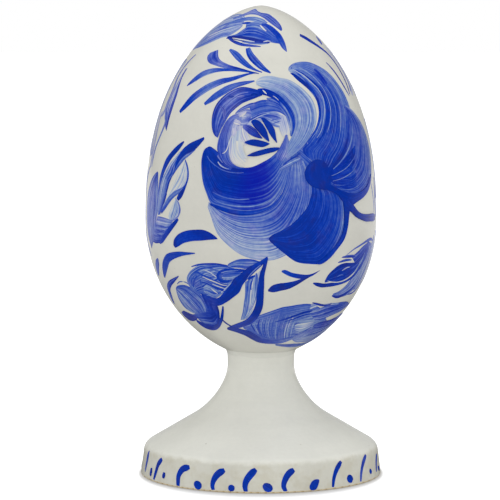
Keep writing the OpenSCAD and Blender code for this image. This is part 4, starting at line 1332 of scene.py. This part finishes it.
# leaf that hangs from the rose, and the long one round the lower right
def paintLowerLeaves(petal, touch):
    # pale insides of the hanging leaf
    petal([(-3.8, 77), (-5.8, 73.5), (-7, 70), (-7.3, 66), (-9, 62.5), (-13, 59.6)],
          [(1.5, 80), (0.5, 76), (-0.5, 72), (-1.3, 68), (-3, 64.5), (-7, 61)], "22 312 3124 3213 423 44",
          drag=1)
    petal([(-8.6, 74.5), (-9, 70), (-10.3, 66), (-12, 62.5), (-14.2, 59.6)],
          [(-4, 76.5), (-5.8, 71), (-7, 66), (-8.8, 62.5), (-11.2, 59.8)], "655 5665 4555 4565 44", drag=0.9)
    touch([(-2.3, 78), (-2.9, 74.5), (-3.4, 71.4), (-4, 68.4), (-5.5, 65.6), (-7.5, 63.2)],
          [0.4, 1.9, 2.1, 1.9, 1.3, 0.4], "65 545 535 54", drag=1)
    touch([(-7, 75.2), (-5, 76.1), (-2.8, 76.9)], [0.5, 1.2, 0.5], "8", drag=0.5)
    touch([(-4.3, 75.6), (-5.4, 73.7), (-5.5, 71.2)], [0.3, 0.8, 0.3], "8 7", drag=0.5)
    # long leaf: body, midrib, then the dark underline
    petal([(-13.5, 56.6), (-10, 55.5), (-6, 54.6), (-2, 53.2), (4.5, 51.6), (13, 51.2), (20, 51.4), (27, 52),
           (33, 53), (40, 54.5), (47, 56), (55, 58)],
          [(-13.5, 57), (-8, 59.4), (-2, 61.6), (4, 63), (8.5, 64), (12.5, 64.8), (18, 65.2), (22.5, 65.6),
           (28, 65.8), (33, 65.2), (40, 63.5)], "66 6656 6656 6656 6656 6666 6556 5555 5455 4455 6655",
          cast=-0.1)
    touch([(0.5, 60.9), (5, 62), (10, 62.8), (15.5, 63.1), (21, 63.6), (26, 64.1)],
          [0.2, 0.6, 0.7, 0.7, 0.6, 0.2], "6 7 6 7 5", drag=0.7)
    # short curved touches that cross the body every 2.5 degrees: from which height, up to which, and the load
    crossing = [(55, 58.6, "67"), (54, 59.6, "47"), (53.2, 60.6, "77"), (52.6, 61.3, "46"),
                (52.2, 61.9, "76"), (52, 62.3, "48"), (51.8, 62.5, "76"), (51.7, 62.6, "47"),
                (51.7, 62.6, "65"), (51.8, 62.4, "46"), (52, 62, "64"), (52.2, 61.6, "35"),
                (52.5, 61.2, "44")]
    for k, (low, high, load) in enumerate(crossing):
        a = 2.5 * k - 7
        touch([(a + 3, low), (a + 0.8, low + 2.4), (a, (low + high) / 2 + 1), (a + 1.2, high)],
              [0.3, 0.9, 1, 0.7, 0.3], load, drag=1)
    petal([(25.5, 56), (28.5, 55.2), (33, 54.8), (37, 55.6), (41, 57.4)],
          [(24.3, 57.8), (26.5, 58.9), (30.5, 59.2), (36, 59.2), (41, 59)], "34 333 323 333 44", drag=0.9)
    touch([(24, 57.4), (26, 58.4), (29, 58)], [0.3, 0.7, 0.3], "7", drag=0.7, cast=-0.5)
    petal([(39, 59), (45, 58.8), (51, 59.2), (57, 60), (65, 60.8), (76, 62.6)],
          [(31, 62.6), (37.5, 63.3), (43, 64.2), (50, 64.6), (57, 64.8), (66, 64.4), (76, 63)],
          "565 6666 66777 66777 6677 77", drag=0.9, cast=-0.3)
    petal([(31, 63.2), (36, 64.3), (42, 64.5), (48, 64.4), (56, 64.2)],
          [(30.5, 65.5), (35, 65.6), (40, 65), (46, 65), (56, 64.8)], "32 11 12 33 54", drag=0.7, cast=-0.2)
    touch([(8.5, 59.1), (14, 59.8), (19.5, 60.8), (24.5, 61.8), (29, 62.5), (34.5, 62.8)],
          [0.3, 0.9, 1.1, 1.1, 1.1, 0.5], "7 8 8 8", drag=0.4, cast=-0.1)
    touch([(14.5, 58.9), (20.5, 59.8), (25.5, 60.8), (30, 61.5), (34.5, 61.7)], [0.2, 0.7, 0.9, 0.8, 0.3],
          "7 8 7", drag=0.4, cast=-0.1)
    touch([(17, 58.3), (22, 59.2), (26.5, 60), (31.5, 60.7)], [0.2, 0.6, 0.6, 0.3], "4", drag=0.7)
    touch([(31.5, 66), (35.5, 65.3), (40, 64.6), (44.5, 64.5), (48, 65)], [0.4, 0.9, 0.9, 0.9, 0.3], "8 8 7",
          cast=-0.5)
    petal([(30, 51.3), (38, 50), (47, 49.8), (57, 49.6), (68, 51), (78, 54), (85, 57.6)],
          [(31, 54.2), (39, 54.8), (47, 56), (57, 57.4), (67, 58.6), (76, 59.4), (85, 58.6)],
          "55 4455 5556 6566 6666 77", drag=0.9, cast=-0.35)
    touch([(22, 53.4), (28, 53.8), (33, 53.6), (37.5, 55), (41, 56.4)], [0.2, 0.6, 0.6, 0.5, 0.2], "6 7 6",
          drag=0.6)
    touch([(30, 51.6), (36, 51.8), (42, 53), (48, 53.6)], [0.2, 0.7, 0.7, 0.2], "3 2 3", drag=0.8)
    petal([(42, 56.1), (49, 55.2), (56, 55.2), (64, 55.7), (73, 56.8)],
          [(41.8, 56.8), (44, 57.6), (49.5, 58), (57.5, 58), (66, 58.4), (73, 57.8)], "66 77 77 66", drag=0.5,
          cast=-0.6)
    petal([(-27, 55.8), (-19.5, 54.7), (-13.5, 53.6), (-9, 52.2), (-3.5, 50.9), (3, 50.3), (12, 50),
           (21, 50.2), (28, 51.2), (33, 52.2)],
          [(-26, 56.5), (-19, 56.6), (-13, 56), (-8.5, 55.4), (-4, 54), (0, 52.6), (5, 51.9), (13, 51.4),
           (20, 51.6), (27, 52.2), (33, 52.6)], "99 98 99 98 77 65 55", drag=0.5,
          cast=[-0.4, -0.3, -0.3, -0.2])
    petal([(14.5, 49.4), (26, 48.5), (39, 47.9), (50, 47.8), (62, 48.2), (76, 50), (88, 53)],
          [(15, 49.8), (26, 49.5), (37.5, 49.4), (50, 49.2), (64, 49.4), (76, 51.4), (88, 54)],
          "66 66 55 44 44 44", drag=0.8, cast=[-0.1, -0.3, -0.6])
    # dark right edge of the hanging leaf
    petal([(1.5, 81.8), (-0.6, 77.5), (-2, 73), (-2.7, 69), (-3.8, 65.3), (-6.5, 62), (-11, 59.8),
           (-16, 58.6), (-21, 57.6), (-26, 56.5)],
          [(3.4, 83.2), (2.7, 80.5), (1.8, 76.8), (1.6, 72), (1.4, 68), (0.6, 64.4), (-1.6, 61.4), (-5.5, 59),
           (-11, 57.5), (-17, 56.5), (-25.5, 56)], "89 99 899 999 999 898 888 99", drag=0.3,
          cast=[0, 0, 0, -0.3, -0.4])


# twigs and the small leaf at the lower right
def paintTwigsRight(petal, touch):
    petal([(10, 78.1), (14, 76.5), (19, 75.5), (23, 75.3), (27, 76), (31.7, 78.1)],
          [(10, 78.5), (12.2, 78.8), (16, 77.7), (20.5, 77.1), (26, 76.9), (31.8, 78.2)], "77 88 98 9",
          drag=0.4)
    petal([(3.3, 71), (6.5, 70.5), (10.5, 70.9), (15, 71.6), (19.5, 73), (23, 74.6), (27, 76.2)],
          [(3.4, 71.4), (5.6, 73), (9, 73.8), (13.5, 74.2), (18, 74.7), (22, 75.6), (26.8, 76.5)],
          "99 99 998 998 9", drag=0.25, cast=-0.15)
    # leaf that goes round the side
    petal([(66.5, 68.3), (68.5, 72), (70.5, 76), (71.5, 80), (73, 83.5), (76, 86.8)],
          [(70, 68.6), (76, 72), (80.5, 77), (82, 82), (80, 86), (77, 88.3)], "44 433 4323 4334 55", drag=0.9,
          cast=-0.5)
    petal([(44.8, 67.9), (50.5, 66.9), (57.5, 66.9), (64, 68), (69, 70), (72, 72.6), (73.6, 75.8), (75, 79),
           (77, 83)],
          [(45, 68.8), (49.5, 69.4), (54, 71.2), (57.3, 73.8), (59.8, 77), (61.5, 79.6), (63.5, 82),
           (67, 84.2), (73, 86)], "66 65 5455 54445 54445 64445 65445 6545 65", drag=1,
          cast=[-0.2, -0.3, -0.5])
    touch([(44.5, 68), (51, 67.3), (57, 68), (62.5, 69.4), (66, 71.4), (67.5, 74)],
          [0.5, 1.5, 1.7, 1.5, 1, 0.3], "88 88 77 6", drag=0.5, cast=-0.4)
    touch([(60, 67.4), (67, 67.6), (73, 69), (77, 71.4)], [0.3, 0.9, 0.9, 0.3], "7 7 6", drag=0.5, cast=-0.4)
    touch([(47.5, 82.6), (52.5, 84.3), (58.5, 85.5), (65, 86.5), (71, 86.9), (77, 86)],
          [0.2, 0.6, 0.9, 1.1, 1.2, 0.4], "5 5 6 7", drag=0.6, cast=-0.4)
    touch([(56, 71.5), (60, 74), (63, 78), (65.5, 82.5)], [0.3, 0.8, 0.8, 0.3], "3 3", drag=0.9)
    touch([(80.5, 70), (86, 75), (88.5, 81), (86, 87), (80.5, 89.5)], [0.6, 1.9, 2.2, 1.8, 0.6], "7 7 6",
          cast=-0.3)
    # small dark leaf with its two ticks and keel
    petal([(35.8, 73.3), (39.5, 73.4), (45, 73), (50.5, 73.6), (55, 74.8), (58.8, 76.6), (61.5, 79.6)],
          [(35.8, 73.8), (37.3, 76.2), (40.3, 78.2), (43.5, 79.5), (47.5, 79.9), (53.5, 79.6), (60, 79.4)],
          "88 89 9899 9899 8789 88", drag=0.9, cast=[0, -0.1, -0.3])
    touch([(46, 77), (49.5, 78), (53, 78.2)], [0.2, 0.8, 0.2], "4 3", drag=0.8, cast=-0.3)
    touch([(43.5, 75), (46.5, 75.6), (49, 75.4)], [0.2, 0.5, 0.2], "5", drag=0.8)
    petal([(69, 86.4), (62, 85), (56.5, 83.2), (52, 81.8)],
          [(73, 85.4), (68, 82.6), (63, 80.2), (58, 78.2)], "66 676 776 67", drag=0.9, cast=-0.5)
    touch([(42.3, 80.3), (47.5, 80.8), (53, 80.7)], [0.3, 0.9, 0.9, 0.3], "77 78 76", cast=-0.2, drag=0.9)
    touch([(44.3, 82.1), (50, 82.2), (56.5, 81.8)], [0.3, 1, 1.2, 0.7], "76 77 66", cast=-0.5, drag=0.9)
    touch([(28.5, 73.5), (32, 72.7), (35.5, 72.2), (39.5, 72.2), (45, 72.3), (50.5, 72.6), (55, 73.4),
           (60, 75.2), (63.5, 77.7), (66.5, 80.7), (70, 84.4)],
          [0.5, 1.6, 1.7, 1.2, 1, 1.2, 1.6, 1.9, 2, 1.4], "9 9 88 88 77 76", drag=0.4,
          cast=[0, -0.1, -0.4])
    touch([(37, 74), (42, 73.2), (47, 73), (51.5, 73.6), (56, 75), (60.5, 77.5), (63, 80), (65.5, 83)],
          [0.2, 0.5, 0.5, 0.6, 0.6, 0.3], "1 1 2 3", drag=0.7)


# leaf that goes round the right side near the top, and the one below it
def paintSideLeafRight(petal, touch):
    petal([(72, 152.5), (75, 149), (76, 145), (75, 141.5), (72.5, 138.5)],
          [(76, 157), (84, 154), (91, 148.5), (88, 142), (74, 137.8)], "1212 2121 2112 2212 22", cast=-0.5)
    touch([(45, 160.1), (50.5, 159), (56.5, 157.4), (63.5, 155.4), (69, 153.2), (72.2, 149.8), (72.5, 146),
           (71.5, 142), (69, 138.5)], [1.6, 2.2, 1.8, 1.4, 1.2, 1.1, 1, 0.9, 0.4], "9 8 8 8",
          cast=[-0.3, -0.6], drag=0.6)
    touch([(79, 154), (81, 150.5), (80.3, 146.5), (77.5, 142.8), (73, 139.3)], [0.5, 1.2, 1.4, 1.2, 0.4],
          "6 7 6", cast=-0.7, drag=0.6)
    touch([(84, 155), (92, 149), (93, 142.5), (84, 137.5)], [0.6, 1.8, 2, 0.6], "7 7", cast=-0.3)
    touch([(57, 150.5), (61, 147.6), (64, 143.8), (65.8, 140.6), (67.5, 138)], [0.3, 0.9, 1, 0.9, 0.3],
          "8 8 7", cast=-0.6)
    touch([(80.5, 159), (76, 157.8), (71.5, 156.2)], [1, 2.6, 2.2, 0.5], "7 6", cast=-0.5)
    touch([(71.8, 107.4), (74, 103.7), (75.5, 100), (76.5, 95.6)], [0.3, 0.7, 0.8, 0.3], "4 5 4", cast=-0.7)
    touch([(80, 109), (79.5, 104), (80, 99), (82, 94)], [0.6, 1.6, 1.6, 0.6], "5 5", cast=-0.7)
    petal([(84, 128), (84, 122), (84, 115), (84, 108), (82, 101)],
          [(86, 128.5), (96, 124), (100, 116), (97, 108), (83, 100.5)], "44 5434 5445 6555 76", drag=0.9,
          cast=-0.3)
    touch([(85, 129.5), (97, 125), (102, 116.5), (99, 107.5), (88, 100.5)], [0.6, 2.4, 2.8, 2.4, 0.6],
          "8 8 7", drag=0.4)


front = {
    # the painter of each motif and its random seed
    "roseFront": (paintRose, 11),
    "budTop": (paintTopBud, 21),
    "fanLeft": (paintFan, 22),
    "sideLeafLeft": (paintSideLeafLeft, 23),
    "sprayLeft": (paintSprayLeft, 24),
    "budLower": (paintLowerBud, 25),
    "leavesLower": (paintLowerLeaves, 26),
    "twigsRight": (paintTwigsRight, 27),
    "sideLeafRight": (paintSideLeafRight, 28),
}
back = {
    # then where the middle of the motif comes to lie on the back, in degrees and height, and its size there
    "roseBack": (paintRose, 41, (180, 112), 0.82),
    "fanBack": (paintFan, 42, (176, 117), 0.8),
    "leavesBack": (paintLowerLeaves, 43, (180, 108), 0.85),
}
roseMiddle = (18, 115)      # what mirrored() takes as the middle of the front


def mirrored(middle, size):
    # puts a whole motif on the back of the egg, smaller and the other way round
    (toAround, toHeight), (fromAround, fromHeight) = middle, roseMiddle

    def put(spots):
        return [(toAround - size * (a - fromAround), toHeight + size * (z - fromHeight)) for a, z in spots]
    return put


def paintMotif(layer, paint):
    paint(layer.petal, layer.touch)
    layer.finish("painted_egg", eggPaint)


eggSurface = surfaceOf(eggOutline, egg["widest"])
for name, (paint, seed) in front.items():
    paintMotif(PaintLayer(name, eggSurface, seed), paint)
for name, (paint, seed, middle, size) in back.items():
    paintMotif(PaintLayer(name, eggSurface, seed, mirrored(middle, size), size), paint)

# commas and dots round the rim: (degrees, height) down each comma, and the dots between
rim = {
    # each comma with how thick it is beside the fullest one
    "commas": [
        (1.0, [(-2.5, 8.5), (-5, 6.7), (-7, 4.4), (-7.5, 2.4), (-7, 0.5)]),
        (1.0, [(16, 8.2), (13, 6.6), (11, 4.3), (10.5, 2.3), (11.5, 0.5)]),
        (1.0, [(-17.6, 7.9), (-21, 6.2), (-23, 3.8), (-23.3, 1.8), (-22.5, 0.4)]),
        (1.0, [(-36.4, 7.8), (-40.5, 6.7), (-42.8, 4.2), (-42.8, 2.1), (-42.5, 0.4)]),
        (0.85, [(-56, 9), (-59, 6.7), (-60.5, 3.9), (-62, 0.8)]),
        (0.75, [(42, 9.4), (38.8, 7), (36.6, 3.9), (35.6, 0.8)]),
    ],
    "sideCommas": [
        [(-72, 10.1), (-73, 7.1), (-74.5, 2.1)],
        [(62.5, 9.7), (58.5, 7.1), (55.8, 3.8), (54.7, 0.9)],
        [(79, 8.2), (75.5, 5.6), (73.5, 2.2)],
    ],
    "width": [1.4, 2.5, 2.4, 2.1, 1.8, 1.3],
    "sideWidth": [0.9, 1.9, 1.7, 1.4, 0.8],
    "dots": [
        ([(-32.8, 3), (-31, 1.9), (-29.2, 0.9)], [0.8, 2.5, 3.0, 2.7, 0.9]),
        ([(-13.2, 2.7), (-14.2, 1.6), (-15, 0.8)], [0.9, 2.2, 2.6, 2.1, 0.8]),
        ([(1, 3.2), (3, 2.1), (5, 1.1)], [1.0, 2.5, 3.0, 2.6, 1.0]),
        ([(28.2, 3.9), (26, 2.6), (24.6, 1), (24.4, 0.4)], [0.6, 2.2, 3.0, 2.9, 1.0]),
        ([(45, 3.6), (47, 2.7), (48.5, 1.8)], [0.9, 2.6, 3.0, 2.5, 1.0]),
        ([(64.5, 4.1), (66, 2.6)], [1.0, 1.8, 1.0]),
        ([(-53, 4.4), (-53.5, 2.2)], [1.0, 1.8, 1.0]),
        ([(-65.5, 4.6), (-66, 1.6)], [0.8, 1.4, 0.8]),
        ([(78, 3.6), (80, 2)], [0.8, 1.4, 0.8]),
    ],
    # round the back the commas follow each other at this step, each a little different
    "backFrom": 98.0,
    "backTo": 268,
    "backStep": 19.5,
    "backComma": [(7, 8.5), (3, 6.6), (1, 4.1), (0.5, 2.2), (1, 0.6)],
    "backDot": [(9.5, 2.9), (11.5, 1.5)],
    "backDotWidth": [1.2, 2.0, 1.1],
    "backUneven": 1.5,
    "seed": 5,
    # the surface that they lie on, and the place on the axis that it is seen from
    "surfaceTo": 14,
    "surfaceMiddle": 3.0,
}


def paintRim(touch):
    rand = random.Random(rim["seed"])
    uneven = rim["backUneven"]
    for thick, comma in rim["commas"]:
        touch(comma, [thick * w for w in rim["width"]], "99 98 89", drag=0.3)
    for comma in rim["sideCommas"]:
        touch(comma, rim["sideWidth"], "77 77 66", drag=0.4, cast=-0.4)
    around = rim["backFrom"]
    while around < rim["backTo"]:
        tilt, rise = rand.uniform(-uneven, uneven), rand.uniform(-0.5, 0.6)
        head, *rest = [(around + a, z) for a, z in rim["backComma"]]
        touch([(head[0] + tilt, head[1] + rise), *rest], rim["width"], "99 98 89", drag=0.3)
        upper, lower = [(around + a, z) for a, z in rim["backDot"]]
        touch([(upper[0], upper[1] + rise / 3), lower], rim["backDotWidth"], "98", drag=0.3)
        around += rim["backStep"] + rand.uniform(-uneven, uneven)
    for spots, width in rim["dots"]:
        touch(spots, width, "98", drag=0.3)


rimSurface = surfaceOf(pedestalOutline[pedestalOutline[:, 1] < rim["surfaceTo"]], rim["surfaceMiddle"])
rimLayer = PaintLayer("rimStrokes", rimSurface, 51)
paintRim(rimLayer.touch)
rimLayer.finish("painted_pedestal", rimPaint)
print("painting done")

# floor and world; lengths in metres
studio = {
    "floorSize": 6.0,
    "floorDrop": 0.0002,
    "floorColor": (0.45, 0.45, 0.45, 1),
    "frontColor": (0.08, 0.08, 0.08, 1),      # the floor in front, as the gloss sees it
    "frontBy": 0.6,          # how far behind the piece the floor is fully bright for the gloss
    "footGlow": 0.26,        # what the viewer and the gloss see of the floor right under the piece
    "floorGlow": 0.9,        # the same beyond the contact shadow
    "shadowReach": (0.0016, 0.013),     # of the contact shadow to the sides, and to front and back
    "floorBounce": 0.25,
    "tableInGloss": 0.2,     # share of the table's glow that the varnish shows
    "wall": 0.83,            # soft light from all round
    "wallInGloss": (0.02, 0.4),         # the viewer's side and the far wall, as the gloss sees them
    "farWall": (0.8, 1.0),
}


def floorMaterial():
    material = bpy.data.materials.new("studioFloor")
    material.use_nodes = True
    tree = material.node_tree
    shader = tree.nodes["Principled BSDF"].inputs
    shader["Roughness"].default_value = 0.9
    shader["Specular IOR Level"].default_value = 0.0
    shader["Emission Color"].default_value = (1, 1, 1, 1)
    rays = addNode(tree, "LightPath").outputs
    glossy = rays["Is Glossy Ray"]
    bounced = maths(tree, "MAXIMUM", glossy, rays["Is Transmission Ray"])
    seen = maths(tree, "MAXIMUM", rays["Is Camera Ray"], times(tree, bounced, studio["tableInGloss"]))
    # gloss sees the white table behind the piece and the dim one in front of it
    x, y = separated(tree, addNode(tree, "TexCoord").outputs["Object"])[:2]
    before = times(tree, ranged(tree, y, 0.0, studio["frontBy"], 1.0, 0.0), glossy)
    dimmed = times(tree, seen, minus(tree, 1.0, before))
    # soft contact shadow close round the foot, wider to the front and the back
    wideSquare = maths(tree, "POWER", maths(tree, "ABSOLUTE", x), 2.0)
    deepSquare = maths(tree, "POWER", maths(tree, "ABSOLUTE", y), 2.0)
    square = plus(tree, wideSquare, deepSquare)
    beyond = minus(tree, maths(tree, "SQRT", square), pedestal["footRadius"] * mm)
    reachWide, reachDeep = studio["shadowReach"]
    reach = plus(tree, times(tree, wideSquare, reachWide), times(tree, deepSquare, reachDeep))
    beyond = maths(tree, "DIVIDE", times(tree, beyond, square), reach)
    bright = ranged(tree, beyond, 0.0, 1.0, studio["footGlow"], studio["floorGlow"])
    bounce = studio["floorBounce"]
    glow = plus(tree, times(tree, dimmed, minus(tree, bright, bounce)), bounce)
    plug(tree, times(tree, glow, minus(tree, 1.0, before)), shader["Emission Strength"])
    plug(tree, blendColors(tree, before, studio["floorColor"], studio["frontColor"]), shader["Base Color"])
    return material


def floorPiece():
    half = studio["floorSize"] / 2
    corners = [(-half, -half, 0), (half, -half, 0), (half, half, 0), (-half, half, 0)]
    mesh = bpy.data.meshes.new("studioFloor")
    mesh.from_pydata(corners, [], [(0, 1, 2, 3)])
    mesh.materials.append(floorMaterial())
    floor = bpy.data.objects.new("studioFloor", mesh)
    floor.location.z = -studio["floorDrop"]
    bpy.context.scene.collection.objects.link(floor)


def studioWorld():
    world = bpy.data.worlds.new("studioWorld")
    bpy.context.scene.world = world
    world.use_nodes = True
    tree = world.node_tree
    sky = tree.nodes["Background"].inputs
    sky["Color"].default_value = (1, 1, 1, 1)
    # gloss sees the white wall behind the table, and the dim side that the viewer stands on
    y = separated(tree, addNode(tree, "TexCoord").outputs["Generated"])[1]
    behind = ranged(tree, y, *studio["farWall"], *studio["wallInGloss"])
    rays = addNode(tree, "LightPath").outputs
    strength = plus(tree, times(tree, rays["Is Camera Ray"], 1.0 - studio["wall"]), studio["wall"])
    away = minus(tree, behind, studio["wall"])
    plug(tree, plus(tree, strength, times(tree, rays["Is Glossy Ray"], away)), sky["Strength"])


# only the key lamp shows in the gloss
lamps = {
    "keyLamp": {"stands": (-0.75, -0.95, 0.95), "aim": (0, 0, 0.09), "power": 1.5, "size": (0.45, 0.7)},
    "fillLamp": {"stands": (0.95, -0.85, 0.55), "aim": (0, 0, 0.08), "power": 0.85, "size": (0.7, 0.7)},
    "frontLamp": {"stands": (0.15, -1.6, 0.12), "aim": (0, 0, 0.06), "power": 4.0, "size": (0.8, 0.8)},
    "leftLamp": {"stands": (-1.1, -0.4, 0.06), "aim": (0, 0, 0.06), "power": 0.5, "size": (0.5, 0.5)},
    "topLamp": {"stands": (0.0, 0.1, 1.3), "aim": (0, 0, 0.1), "power": 2.9, "size": (0.8, 0.8)},
}
view = {"stands": (-0.00396, -1.2, 0.214), "aim": (-0.00396, 0, 0.0815), "lens": 239.7, "sensor": 36}


def standing(name, data, values):
    # a lamp or a camera, put in its place and pointed at its aim
    thing = bpy.data.objects.new(name, data)
    thing.location = values["stands"]
    way = Vector(values["aim"]) - Vector(values["stands"])
    thing.rotation_euler = way.to_track_quat("-Z", "Y").to_euler()
    bpy.context.scene.collection.objects.link(thing)
    return thing


floorPiece()
studioWorld()
for name, values in lamps.items():
    lamp = bpy.data.lights.new(name, "AREA")
    lamp.energy = values["power"]
    lamp.shape = "RECTANGLE"
    lamp.size, lamp.size_y = values["size"]
    standing(name, lamp, values).visible_glossy = name == "keyLamp"

camera = standing("camera", bpy.data.cameras.new("camera"), view)
camera.data.lens = view["lens"]
camera.data.sensor_width = view["sensor"]
bpy.context.scene.camera = camera
bpy.context.scene.view_settings.view_transform = "Standard"

print("stage set")
